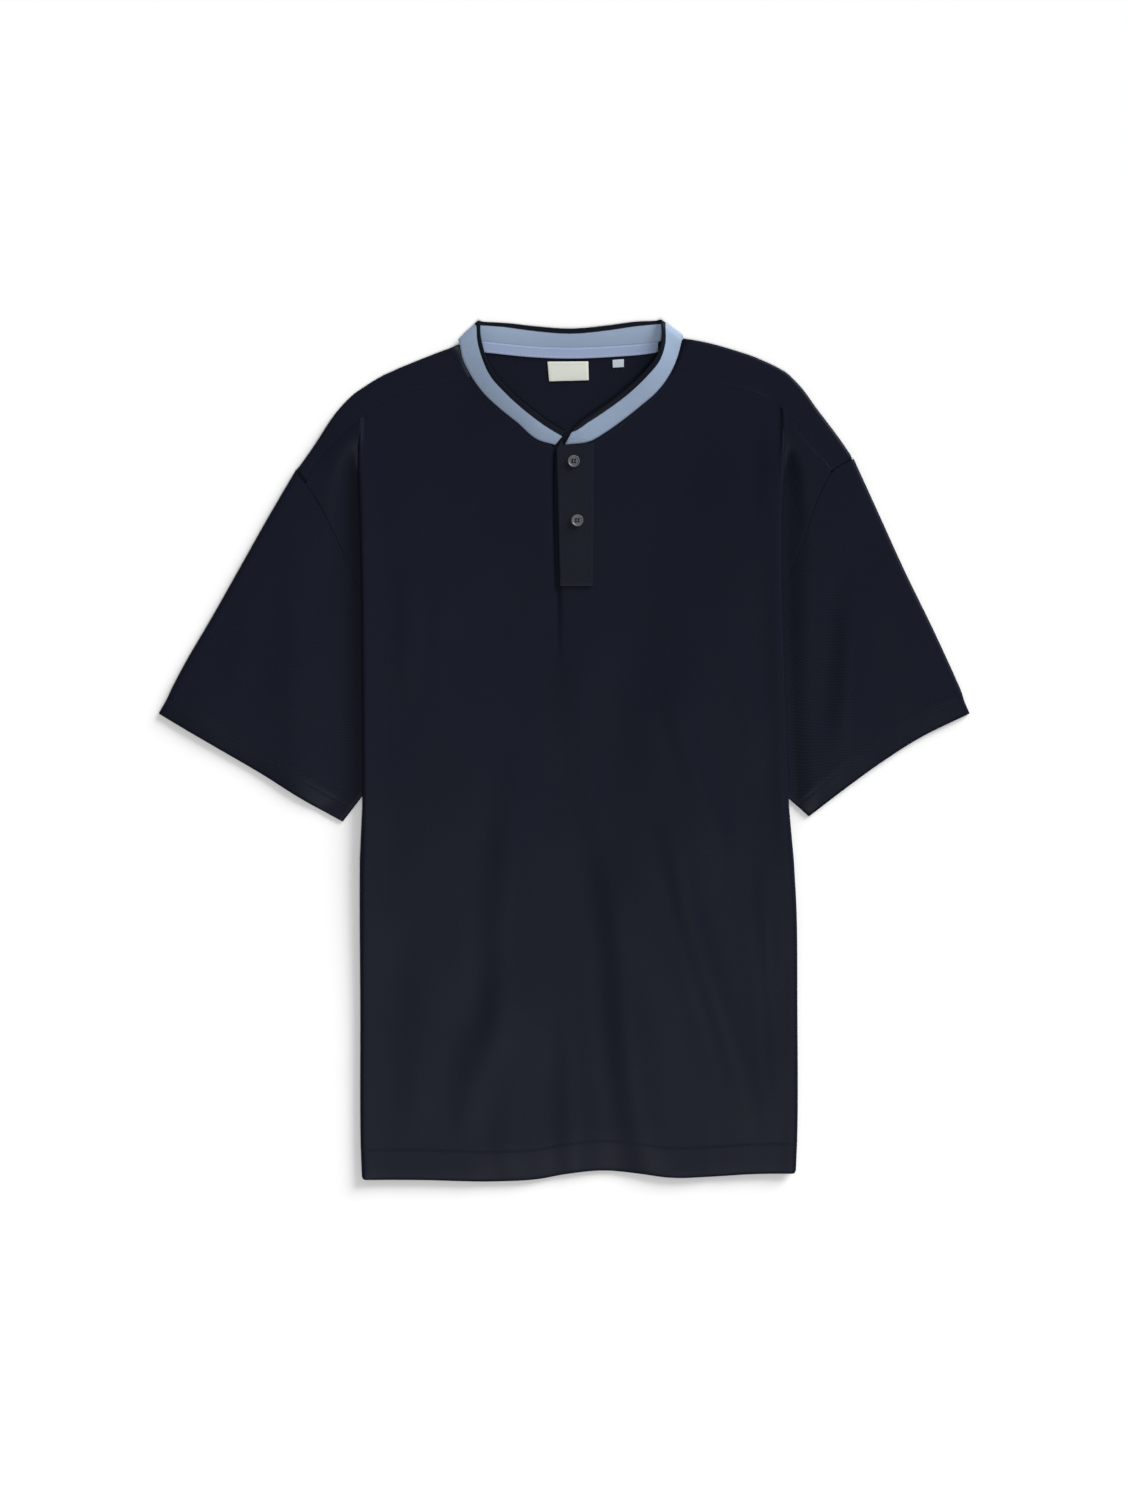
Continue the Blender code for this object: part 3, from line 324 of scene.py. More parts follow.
def taper(y):
    return 1 - smooth((y - TAPER[0]) / (TAPER[1] - TAPER[0]))


def inside(side, x, y):
    """Distance from a side fold to x, inwards."""
    return side * (fold_x(side, y) - x)


def past_tuck(side, x, y):
    """Distance past the slope's start beside a tucked strip, towards the middle."""
    return inside(side, x, y) - tuck(side, y) - TUCK_EDGE


def plateau(side, x, y):
    """1 over what is tucked beneath this side, 0 over the middle."""
    return 1 - smooth(past_tuck(side, x, y) / PLATEAU_SLOPE)


def over_tuck(x, y):
    """1 over what is tucked beneath either side, 0 over the middle."""
    return max(plateau(-1, x, y), plateau(1, x, y))


def rise(side, x, y):
    """How far the front stands up over what is tucked beneath: it slopes down to the middle slowly."""
    return 1 - smooth(past_tuck(side, x, y) / FRONT_SLOPE)


def bulge(side, x, y):
    """1 at the side fold, 0 a little way in."""
    return math.exp(-((max(0.0, inside(side, x, y)) / BULGE_REACH) ** 2))


def free_share(y):
    """0 up to the highest tucked row, 1 where the side folds have run out."""
    return smooth((y - LIP_TOP) / (APEX - LIP_TOP))


def beside(path, x, y, reach):
    """Where a point lies by a path: its squared distance, up to reach squared; the share of the path's length
    that is passed; and how far off it lies across."""
    best, place, run, across = reach * reach, 0.0, 0.0, 0.0
    for (ax, ay), (bx, by) in zip(path, path[1:]):
        dx, dy = bx - ax, by - ay
        length = math.hypot(dx, dy)
        t = min(1.0, max(0.0, ((x - ax) * dx + (y - ay) * dy) / (length * length)))
        gap = (x - ax - dx * t) ** 2 + (y - ay - dy * t) ** 2
        if gap < best:
            best, place = gap, run + t * length
            across = ((x - ax) * -dy + (y - ay) * dx) / length
        run += length
    return best, place / run, across


def crease_height(creases, x, y):
    """Sum of the folds at a point: on one side of a path rises its crest, on the other sinks its trough."""
    total = 0.0
    for crease in creases:
        reach = CREASE_REACH * crease.width
        xs, ys = zip(*crease.path)
        if not (min(xs) - reach < x < max(xs) + reach and min(ys) - reach < y < max(ys) + reach):
            continue
        gap, place, across = beside(crease.path, x, y, reach)
        ends = smooth(CREASE_ENDS * place) * smooth(CREASE_ENDS * (1.0 - place))
        side = across / crease.width
        crest = crease.ridge * math.exp(-((side - CREASE_SPREAD) ** 2))
        trough = crease.trough * math.exp(-((side + CREASE_SPREAD) ** 2))
        past_end = max(0.0, gap / crease.width ** 2 - side * side)
        total += (crest - trough) * blend(CREASE_LEAST, 1.0, ends) * math.exp(-past_end)
    return total


def waves(x, y, scale, height):
    """Slight unevenness of hand-laid cloth."""
    return height * noise.noise(Vector((x / scale, y / (WAVE_STRETCH * scale), WAVE_SLICE)))


def body_top(x, y):
    """Top of the front panel, without its creases."""
    under = SLEEVE_TOGETHER * smooth((y - FRONT_BASE[0]) / (FRONT_BASE[1] - FRONT_BASE[0]))
    lift = sum(rise(s, x, y) * (under + STRIP_LIFT) + bulge(s, x, y) * SIDE_BULGE for s in (-1, 1))
    return CENTRE_TOP + lift * taper(y)


def creased_top(x, y):
    """Top of the front panel as it lies, calm at the side folds, the neck and the shoulders."""
    calm = min(*(smooth(inside(side, x, y) / CALM_SIDE) for side in (-1, 1)),
               smooth((CALM_TOP - y) / CALM_NECK))
    bend = crease_height(BODY_CREASES, x, y) * max(CALM_LEAST, calm) + waves(x, y, *BODY_WAVES) * calm
    room = blend(*TROUGH_ROOM, over_tuck(x, y))
    if bend < 0:
        bend = -room * math.tanh(-bend / room)
    return body_top(x, y) + bend


def body_under(x, y):
    """Underside of the back panel within the side folds."""
    stack = 2 * CLOTH + 2 * LAYER_GAP
    edge = CENTRE_TOP + STRIP_LIFT + SIDE_BULGE - 2 * CLOTH - LAYER_GAP - stack
    lift = sum(plateau(s, x, y) * (base(y) + stack) + bulge(s, x, y) * edge for s in (-1, 1))
    return lift * taper(y)


def past_top(side, x, y):
    """Top of a sleeve, and of the shoulder past the side fold."""
    out = max(0.0, -inside(side, x, y))
    low = blend(SLEEVE_NEAR, SLEEVE_FAR, quick_start((out - SLEEVE_FLAT[side]) / SLEEVE_RISE[side]))
    edge = body_top(fold_x(side, y), y)
    high = blend(SLEEVE_FAR, edge, math.exp(-((out / SHOULDER_REACH) ** 2)))
    start = LIP_TOP - SHOULDER_EASE * smooth(out / EASE_REACH)
    return blend(low, high, smooth((y - start) / (APEX - start)))


def past_under(side, x, y):
    """Underside of the back panel past the side fold."""
    out = max(0.0, -inside(side, x, y))
    edge = body_under(fold_x(side, y), y)
    return edge * math.exp(-((out / UNDER_REACH) ** 2)) * free_share(y)


def middle_top(x, y):
    """Middle of the topmost cloth anywhere on the body and the shoulders."""
    for side in (-1, 1):
        if inside(side, x, y) < 0:
            return past_top(side, x, y) - CLOTH / 2
    return creased_top(x, y) - CLOTH / 2


# ---------------------------------------------------------------------------------------------------------
# Paths shared by several pieces

NECK_SEAM = 0.5        # gap between the band and the front neckline
BACK_NECK_SEAM = -0.6  # the back panel and the tape are sewn in under the band's edge
NECK_STEPS = 4
BESIDE_NECK = 80       # past this x the front's top edge is its shoulder seam where that is lower
CURVE_STEPS = 6
CREASE_STEPS = 3


def band_path(first, last, edge, steps):
    """Seam or tip edge of the neck band between two stations, as (x, y, z)."""
    points = []
    for row in BAND[first:last + 1]:
        tilt = BAND_TILT if row.tx < 0 else 1.0
        tip = (row.tx, row.ty, blend(row.sz, row.tz, tilt))
        points.append((row.sx, row.sy, row.sz) if edge == "seam" else tip)
    return rounded(points, steps)


def seam_path(first, last):
    """The band's seamed edge between two stations from above, as (x, y)."""
    return [(x, y) for x, y, _ in band_path(first, last, "seam", NECK_STEPS)]


def moved_out(path, gap):
    """A path round the neck, moved away from the neck's centre."""
    moved = []
    for x, y in path:
        away = Vector((x - NECK_CENTRE[0], y - NECK_CENTRE[1])).normalized() * gap
        moved.append((x + away.x, y + away.y))
    return moved


# Necklines of the front, from its right corner to its left one, and of the back
FRONT_NECK = moved_out([*seam_path(0, BAND_CORNER_RIGHT - 1)[::-1],
                        *seam_path(BAND_CORNER_LEFT + 1, len(BAND) - 1)[::-1]], NECK_SEAM)
BACK_NECK = seam_path(BAND_CORNER_RIGHT + 1, BAND_CORNER_LEFT - 1)


def back_neck(x):
    return look_up(BACK_NECK, x) - BACK_NECK_SEAM


def front_top(x):
    """y of the front panel's top edge at x: shoulder seams and neckline."""
    if x < NECK_CORNERS[0]:
        return look_up(FRONT_SEAM_RIGHT, x)
    if x > NECK_CORNERS[1]:
        return look_up(FRONT_SEAM_LEFT, x)
    neck = look_up(FRONT_NECK, x)
    if abs(x) <= BESIDE_NECK:
        return neck
    return min(neck, look_up(FRONT_SEAM_RIGHT if x < 0 else FRONT_SEAM_LEFT, x))


def shoulder_edge(side):
    inner = SHOULDER_RIGHT[::-1] if side < 0 else SHOULDER_LEFT
    outer = EDGE_PAST_RIGHT if side < 0 else EDGE_PAST_LEFT
    return [*inner, *outer[1:]]


def forward_seam(side):
    """The forward shoulder seam from the neck to the armhole."""
    inner = FRONT_SEAM_RIGHT[::-1] if side < 0 else FRONT_SEAM_LEFT
    outer = SEAM_PAST_RIGHT if side < 0 else SEAM_PAST_LEFT
    corner = NECK_CORNERS[0] if side < 0 else NECK_CORNERS[1]
    inner = [(corner, look_up(sorted(inner), corner))] + [p for p in inner if side * p[0] > side * corner]
    return [*inner[:-1], *outer]


def x_on(path, y):
    """x where a path that runs down in y passes y."""
    return look_up([(py, px) for px, py in sorted(path, key=lambda p: p[1])], y)


# The tables' straight runs made smooth
HEM_LINE = rounded(HEM, CURVE_STEPS)
FRONT_SEAM_RIGHT = rounded(FRONT_SEAM_RIGHT, CURVE_STEPS)
FRONT_SEAM_LEFT = rounded(FRONT_SEAM_LEFT, CURVE_STEPS)
FRONT_SEAM_PAST = {-1: rounded(SEAM_PAST_RIGHT, CURVE_STEPS), 1: rounded(SEAM_PAST_LEFT, CURVE_STEPS)}
EDGE_PAST = {-1: rounded(EDGE_PAST_RIGHT, CURVE_STEPS), 1: rounded(EDGE_PAST_LEFT, CURVE_STEPS)}
ARMHOLE = {-1: rounded(ARMHOLE_RIGHT, CURVE_STEPS), 1: rounded(ARMHOLE_LEFT, CURVE_STEPS)}
OUTER = {-1: rounded(OUTER_RIGHT, CURVE_STEPS), 1: rounded(OUTER_LEFT, CURVE_STEPS)}
CUFF = {-1: rounded(CUFF_RIGHT, CURVE_STEPS), 1: rounded(CUFF_LEFT, CURVE_STEPS)}
SHOULDER_SORTED = {side: sorted(shoulder_edge(side)) for side in (-1, 1)}
for fold in ("right", "left"):
    SIDE_CURVES[fold] = rounded(SIDE_CURVES[fold], CURVE_STEPS)
BODY_CREASES, SLEEVE_CREASES = (
    [crease._replace(path=rounded(crease.path, CREASE_STEPS)) for crease in creases]
    for creases in (BODY_CREASES, SLEEVE_CREASES))


# ---------------------------------------------------------------------------------------------------------
# Front and back panels: rows along the body, each from one end round to the other

ROW_MOST = 4.8
COLUMN_MOST = 4.6
BACK_ROW_MOST = 8.0
BACK_COLUMN_MOST = 8.0
HEM_ROWS = (-412, -411.5, -410.6, -408, -404, -398, -391, -387, -385.6, -384.7, -384, -383.3, -382.4, -381,
            -378)
HEM_STITCH = HEM_ROWS.index(-384)
HEM_SAG = (1.9, 40.0)             # how far the front's hem droops to its edge, and over what length
HEM_SAG_TUCKED = (0.5, 8.0)       # the same over the tucked strips
HEM_SETTLE = (-375, -325)         # rows follow the hem's line below, and run straight above
LOWER_ROWS = (-378, -345, -300, -250, -200, -150, -105, -55, -10, 35, 62, 105, 150)
UPPER_ROWS = (180, 208, 234, 254, 268, 271, 275, 280, 285, 290, 296, 304)
TOP_SHARES = (0.2, 0.4, 0.6, 0.75, 0.87, 0.94, 0.98, 1.0)
ROLL_STEPS = 10
STRIP_STEPS = 9
LIP_STEPS = 6
RETURN_STOPS = ((
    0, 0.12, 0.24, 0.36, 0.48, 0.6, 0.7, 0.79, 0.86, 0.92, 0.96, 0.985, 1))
SHOULDER_INSET = 3.2   # from the shoulder's outer edge to where its roll begins
PAST_INSET = 4.2       # the same, along a row past the side fold
WRAP_STOPS = (0.25, 0.45, 0.65, 0.8, 0.9, 0.96, 0.985, 1.0)
SHOULDER_SEAM = -0.1   # and along the forward shoulder seam
ARMHOLE_SEAM = -0.1    # the two cloths press into each other along the armhole
NECK_REACH = {-1: 2.8, 1: 3.6}         # how far the shoulder's roll leans over to the band at the neck
NECK_LEAN = 14.0       # and over what length beside it
NECK_SIDE = 60         # the front's neckline past this x is a side of the neck
CORNER_SHARE = 0.22    # where the shoulder's roll begins along the armhole, as a share
SEAM_DIP = 0.10        # how deep a sewn seam sinks into the cloth
SEAM_REACH = 1.3
SLIT_COLUMNS = (-13, -11, -9.5, -8.2, -7, -5.8, -4.6, -3, -1)      # closer, at the placket's free edge
COLUMN_LEAST = 0.4
FOLD_PRESS = 0.7       # below 1, the side folds' turns are pressed squarer than a round
PRESS_FADE = 40        # they become round over this distance up to the highest tucked row
LIP_LEAST = 0.9        # smallest radius of a turn outwards
THICK_INSET = 12.0     # over this distance from the side folds the turned hem gets its full thickness
FRONT, BACK = 0, 1

# A turned hem's thickness. ends, ease: where above its edge it thins to one cloth, and over what length;
# stitch, groove, width: where the stitching presses it in, how deep and over what length
Turn = namedtuple("Turn", "ends ease stitch groove width")
HEM_TURN = Turn(HEM_DEPTH - 0.6, 2.1, HEM_DEPTH, 0.03, 0.7)
CUFF_STITCH = 16
CUFF_TURN = Turn(CUFF_DEPTH, 5.0, CUFF_STITCH, 0.25, 0.8)
TURN_EDGE, TURN_EDGE_REACH = 0.45, 1.2       # share of the thickness at the very edge, and up to where it grows


def seam_dip(distance):
    return SEAM_DIP * math.exp(-((distance / SEAM_REACH) ** 2))


def fold_heights(side, y, layer):
    """Middle heights of a panel above a side fold and just past it, and the radii of its two turns."""
    x = fold_x(side, y) - side * ROLL_START
    edge = fold_x(side, y)
    above = (creased_top(x, y) if layer == FRONT else body_top(x, y)) - CLOTH / 2
    past = past_top(side, edge, y) - CLOTH / 2
    strip = base(y) + CLOTH / 2
    roll = (above - strip) / 2
    lip = max(LIP_LEAST, (strip - (SLEEVE_NEAR - CLOTH / 2)) / 2)
    if layer == BACK:
        free = free_share(y)
        above = blend(above - STEP, body_under(x, y) + CLOTH / 2, free)
        past = blend(past - STEP, past_under(side, edge, y) + CLOTH / 2, free)
        roll, lip = roll - STEP, lip + STEP
    return above, past, roll, lip


def row_end(side, y, layer):
    """x where a row ends past its tucked strip: at the armhole, or at the shoulder above it."""
    seam, inset = FRONT_SEAM_PAST[side], 0.0
    if layer == BACK:
        seam, inset = EDGE_PAST[side], PAST_INSET
    if y >= seam[-1][1]:
        return x_on(seam, y) - side * inset
    return x_on(ARMHOLE[side], y) - side * ARMHOLE_SEAM


def pressed(part, press):
    """A turn's sine or cosine, pushed outwards where the fold is pressed."""
    return math.copysign(abs(part) ** press, part) if abs(part) > 1e-9 else 0.0


def side_section(side, y, layer):
    """A panel's section past its roll start, as (distance past the side fold, height)."""
    above, past, roll, lip = fold_heights(side, y, layer)
    turn = math.pi
    if y > LIP_TOP:
        turn = math.acos(max(-1.0, min(1.0, 1 - max(0.0, above - past) / (roll + lip))))
    strip = max(0.0, tuck(side, y) - ROLL_START) if y <= LIP_TOP else 0.0
    press = blend(FOLD_PRESS, 1.0, smooth((y - LIP_TOP + PRESS_FADE) / PRESS_FADE))
    points = []
    for k in range(1, ROLL_STEPS + 1):
        a = turn * k / ROLL_STEPS
        out, up = (roll * pressed(part, press) for part in (math.sin(a), math.cos(a)))
        points.append((out - ROLL_START, above - roll + up))
    u, z = points[-1]
    for k in range(1, STRIP_STEPS + 1):
        points.append((u - strip * k / STRIP_STEPS, z))
    u, z = points[-1]
    for k in range(1, LIP_STEPS + 1):
        a = turn * (1 - k / LIP_STEPS)
        points.append((u + lip * (math.sin(turn) - math.sin(a)), z + lip * (math.cos(turn) - math.cos(a))))
    u = points[-1][0]
    end = side * (row_end(side, y, layer) - fold_x(side, y)) if y > RETURN_FROM else u
    for share in RETURN_STOPS[1:]:
        out = blend(u, max(u, end), share)
        x = fold_x(side, y) + side * out
        if layer == FRONT:
            points.append((out, past_top(side, x, y) - CLOTH / 2 - seam_dip(end - out)))
        else:
            points.append((out, past_under(side, x, y) + CLOTH / 2))
    return points


def hem_settle(y):
    """1 where rows follow the hem's line, 0 above."""
    return smooth((HEM_SETTLE[1] - y) / (HEM_SETTLE[1] - HEM_SETTLE[0]))


def droop(rise, depth, reach):
    """How far a hem's cloth hangs down at a height above its edge."""
    return depth * (1 - min(1.0, rise / reach)) ** 2


def hem_sag(rise, x, y):
    """Droop of the front's hem, which is less over the tucked strips."""
    return blend(droop(rise, *HEM_SAG), droop(rise, *HEM_SAG_TUCKED), over_tuck(x, y))


def turned_wall(turn, rise):
    """Thickness of a turned hem at a height above its edge."""
    full = blend(HEM_WALL, WALL, smooth((rise - turn.ends) / turn.ease))
    edge = blend(TURN_EDGE, 1.0, min(1.0, rise / TURN_EDGE_REACH))
    return full * edge - turn.groove * math.exp(-(((rise - turn.stitch) / turn.width) ** 2))


def shoulder_y(side, x):
    """y of the back panel's edge at x, where it begins to roll over the shoulder."""
    path = SHOULDER_SORTED[side]
    slope = look_up(path, x + 1) - look_up(path, x - 1)
    return look_up(path, x) - SHOULDER_INSET * math.hypot(1, slope / 2)


def back_top(x):
    """y of the back panel's top edge at x."""
    if x <= SHOULDER_RIGHT[-1][0] + 0.01:
        return shoulder_y(-1, x)
    if x >= SHOULDER_LEFT[0][0] - 0.01:
        return shoulder_y(1, x)
    return back_neck(x)


def panel_rows(layer):
    """y of every row at the right and the left side fold."""
    most = ROW_MOST if layer == FRONT else BACK_ROW_MOST
    rows = [(y, y) for y in (*HEM_ROWS[:-1], *subdivided(LOWER_ROWS, most)[:-1],
                             *subdivided((LOWER_ROWS[-1], *UPPER_ROWS), most))]
    if layer == FRONT:
        tops = (SEAM_PAST_RIGHT[0][1], SEAM_PAST_LEFT[0][1])
    else:
        tops = (shoulder_y(-1, fold_x(-1, APEX)), shoulder_y(1, fold_x(1, APEX)))
    return rows + [tuple(blend(APEX, top, share) for top in tops) for share in TOP_SHARES]


def panel_columns(layer):
    """Shares across the body of the columns between the two roll starts."""
    low, high = fold_x(-1, APEX) + ROLL_START, fold_x(1, APEX) - ROLL_START
    if layer == FRONT:
        right, left = NECK_CORNERS
        across = sorted([x for x, _ in FRONT_NECK if right + 1 < x < left - 1] + list(SLIT_COLUMNS))
        across = [x for x, after in zip(across, [*across[1:], left]) if after - x > COLUMN_LEAST]
        stops = [low, *subdivided((low, right), COLUMN_MOST)[1:], *across,
                 *subdivided((left, high), COLUMN_MOST)]
        stops = [x for a, b in zip(stops, stops[1:]) for x in subdivided((a, b), COLUMN_MOST)[:-1]] + [high]
    else:
        right, left = SHOULDER_RIGHT[-1][0], SHOULDER_LEFT[0][0]
        stops = subdivided((low, right, left, high), BACK_COLUMN_MOST)
    return [(x - low) / (high - low) for x in stops]


COLUMNS = {layer: panel_columns(layer) for layer in (FRONT, BACK)}


def across_height(layer, x, y):
    """Middle height of a panel between its side folds."""
    if layer == FRONT:
        return creased_top(x, y) - CLOTH / 2
    sunk = min(0.0, crease_height(BODY_CREASES, x, y))
    return body_under(x, y) + CLOTH / 2 + BACK_CREASE * max(-BACK_TROUGH, sunk) * over_tuck(x, y) * taper(y)


def side_points(layer, side, y, drop):
    """A row's points past its roll start, each (x, y, z, wall); None where the row has no return."""
    edge = fold_x(side, y)
    wall = min(WALL, turned_wall(HEM_TURN, y - HEM_ROWS[0]))
    points = []
    for k, (u, z) in enumerate(side_section(side, y, layer)):
        if y <= RETURN_FROM and k >= ROLL_STEPS + STRIP_STEPS:
            points.append(None)
            continue
        corner = HEM_CORNER * smooth((k + 1) / (ROLL_STEPS + 1))
        lift = hem_settle(y) * (corner + look_up(HEM_LINE, edge) - HEM_ROWS[0])
        under = 1.0 if k < ROLL_STEPS / 2 else free_share(y)
        lift += drop * under * min(1.0, max(0.0, -u / ROLL_START))
        points.append((edge + side * u, y + lift, z, wall))
    return points


def across_points(layer, ends, climbs, top_edge):
    """A row's points between its two roll starts."""
    rise = ends[0] - HEM_ROWS[0]
    wall = turned_wall(HEM_TURN, rise)
    low, high = (fold_x(side, y) - side * ROLL_START for side, y in zip((-1, 1), ends))
    points = []
    for share in COLUMNS[layer]:
        x = blend(low, high, share)
        y = blend(*ends, share)
        if y > SQUARE_TO:
            top = top_edge(x)
            y = SQUARE_TO + blend(*climbs, share) * (top - SQUARE_TO)
            sunk = seam_dip(top - y)
        else:
            y += hem_settle(ends[0]) * (look_up(HEM_LINE, x) - HEM_ROWS[0])
            sunk = hem_sag(rise, x, ends[0])
        edge = min(1.0, *(inside(side, x, end) / THICK_INSET for side, end in zip((-1, 1), ends)))
        own = blend(min(wall, WALL), wall, max(0.0, edge))
        z = across_height(layer, x, y)
        z += -sunk if layer == FRONT else (own - min(own, WALL)) / 2
        points.append((x, y, z, own))
    return points


def panel_grid(layer):
    """Rows of points of a panel's middle surface."""
    rows = panel_rows(layer)
    top_edge = front_top if layer == FRONT else back_top
    grid = []
    for ends in rows:
        climbs = [max(0.0, y - SQUARE_TO) / (top - SQUARE_TO) for y, top in zip(ends, rows[-1])]
        sides = []
        for side, y, climb, top in zip((-1, 1), ends, climbs, rows[-1]):
            drop = climb * (top_edge(fold_x(side, y) - side * ROLL_START) - top)
            sides.append(side_points(layer, side, y, drop))
        grid.append([*sides[0][::-1], *across_points(layer, ends, climbs, top_edge), *sides[1]])
    return grid


def wrap_edge(grid, side):
    """The back panel's edge that rolls over a shoulder, from the neck to the armhole, as (x, y, z, wall)."""
    side_count = ROLL_STEPS + STRIP_STEPS + LIP_STEPS + len(RETURN_STOPS) - 1
    top = grid[-1] if side < 0 else grid[-1][::-1]
    neck_x = SHOULDER_RIGHT[-1][0] if side < 0 else SHOULDER_LEFT[0][0]
    inner = next(k for k in range(side_count, len(top)) if side * top[k][0] <= side * neck_x + 0.01)
    edge = [top[k] for k in range(inner, -1, -1)]
    lowest = EDGE_PAST[side][-1][1]
    for row in grid[-2::-1]:
        end = row[0] if side < 0 else row[-1]
        if end is None or end[1] < lowest:
            break
        edge.append(end)
    corner = [blend(p, q, CORNER_SHARE) for p, q in zip(ARMHOLE[side][0], forward_seam(side)[-1])]
    return [*edge, (*corner, past_under(side, *corner) + CLOTH / 2, WALL)]


def wrap_row(side, start, goal, near_neck):
    """One line of the cloth over a shoulder: up round the roll, then forward and down to the seam."""
    away = Vector((start[0] - goal[0], start[1] - goal[1])).normalized()
    target = (goal[0] + away.x * SHOULDER_SEAM, goal[1] + away.y * SHOULDER_SEAM)
    radius = (middle_top(start[0], start[1]) - start[2]) / 2
    lean = -side * NECK_REACH[side] * near_neck
    row = [(*start[:3], WALL)]
    for k in range(1, ROLL_STEPS + 1):
        a = math.pi * k / ROLL_STEPS
        out = radius * math.sin(a)
        row.append((start[0] + away.x * out + lean * smooth(2 * k / ROLL_STEPS), start[1] + away.y * out,
                    start[2] + radius * (1 - math.cos(a)), WALL))
    neck = [p for p in FRONT_NECK if side * p[0] > NECK_SIDE]
    span = math.dist(start[:2], target)
    for share in WRAP_STOPS:
        x, y = (blend(p, q, share) for p, q in zip(start, target))
        x = blend(x, x_on(neck, y), near_neck)
        row.append((x, y, middle_top(x, y) - seam_dip(span * (1 - share)), WALL))
    return row


def shoulder_wrap(grid, side):
    """The back panel's roll over a shoulder, from its edge to the forward seam."""
    edge = wrap_edge(grid, side)
    seam = forward_seam(side)
    lengths = [0.0]
    for a, b in zip(edge, edge[1:]):
        lengths.append(lengths[-1] + math.dist(a[:2], b[:2]))
    return [wrap_row(side, start, along(seam, length / lengths[-1]), max(0.0, 1 - length / NECK_LEAN))
            for start, length in zip(edge, lengths)]


# ---------------------------------------------------------------------------------------------------------
# Sleeves: rings from the armhole to the cuff

SLEEVE_LENGTHS = 34
CUFF_DEPTHS = (40, 36, 32, 29, 26.5, 24, 21, 19, 17.6, 16.8, 16, 15.2, 14.4, 12, 9, 6, 3, 1.2, 0.4, 0)
CUFF_SAG = (2.8, 30.0)            # how far a cuff droops to its edge, and over what length
CUFF_LIFT = 0.25                  # share of the turned hem's extra thickness by which its middle lies higher
CUFF_FREE = (4.0, 16.0)           # a cuff hangs free past this distance from the body, more and more over that
SLEEVE_CALM = (4.0, 14.0)         # creases set in from this far under the body, over that distance
ARMHOLE_DEPTHS = (0, 0.5, 1.2, 2.2, 4)
SLEEVE_UPPER = 56
SLEEVE_LOWER = 24
SLEEVE_ROLL = 6
ROLL_AT = (0.02, 0.98)            # where across a ring the radii of its two rolls are taken

# Rings from the armhole to the cuff: the distance from either, or the share of the way between their zones
SLEEVE_RINGS = [*(("armhole", depth) for depth in ARMHOLE_DEPTHS),
                *(("between", k / SLEEVE_LENGTHS) for k in range(1, SLEEVE_LENGTHS)),
                *(("cuff", depth) for depth in CUFF_DEPTHS)]
STITCH_RING = SLEEVE_RINGS.index(("cuff", CUFF_STITCH))


def sleeve_plan(side, t, v):
    """Point of the flat sleeve: t from armhole to cuff, v from the outer fold to the underarm."""
    armhole, cuff = ARMHOLE[side], CUFF[side]
    outer, under = along(OUTER[side], t), along((armhole[-1], cuff[-1]), t)
    start, end = along(armhole, v), along(cuff, v)
    point = []
    for k in range(2):
        edges = (1 - v) * outer[k] + v * under[k]
        ends = (1 - t) * start[k] + t * end[k]
        corners = ((1 - t) * ((1 - v) * armhole[0][k] + v * armhole[-1][k])
                   + t * ((1 - v) * cuff[0][k] + v * cuff[-1][k]))
        point.append(edges + ends - corners)
    return tuple(point)


def sleeve_top(side, x, y):
    """Top of a sleeve with its creases, which die away under the body."""
    y = min(y, LIP_TOP)
    out = -inside(side, x, y)
    under, reach = SLEEVE_CALM
    bend = crease_height(SLEEVE_CREASES, x, y) + waves(x, y, *SLEEVE_WAVES)
    return max(SLEEVE_NEAR, past_top(side, x, y) + bend * smooth((out + under) / reach))


def ring_share(kind, value, length):
    """How far along the sleeve a ring lies where the way from the armhole to the cuff has this length."""
    if kind == "armhole":
        return (value + ARMHOLE_SEAM) / length
    if kind == "cuff":
        return 1 - value / length
    return blend((ARMHOLE_DEPTHS[-1] + ARMHOLE_SEAM) / length, 1 - CUFF_DEPTHS[0] / length, value)


def ring_spot(side, ring, v):
    """Point of a ring in the flat sleeve, v from the outer fold to the underarm."""
    length = math.dist(sleeve_plan(side, 0, v), sleeve_plan(side, 1, v))
    return sleeve_plan(side, ring_share(*ring, length), v)


def ring_upper(side, ring, v):
    """Point of a ring's upper layer, as (x, y, z, wall)."""
    kind, depth = ring
    x, y = ring_spot(side, ring, v)
    z = sleeve_top(side, x, y) - CLOTH / 2
    wall = WALL
    if kind == "armhole":
        z -= seam_dip(depth)
    if kind == "cuff":
        near, reach = CUFF_FREE
        free = smooth((-inside(side, x, y) - near) / reach)
        full = turned_wall(CUFF_TURN, depth)
        wall = blend(min(WALL, full), full, free)
        z += CUFF_LIFT * (wall - WALL) * free
        z = max(SLEEVE_NEAR - CLOTH / 2, z - free * droop(depth, *CUFF_SAG))
    return x, y, z, wall


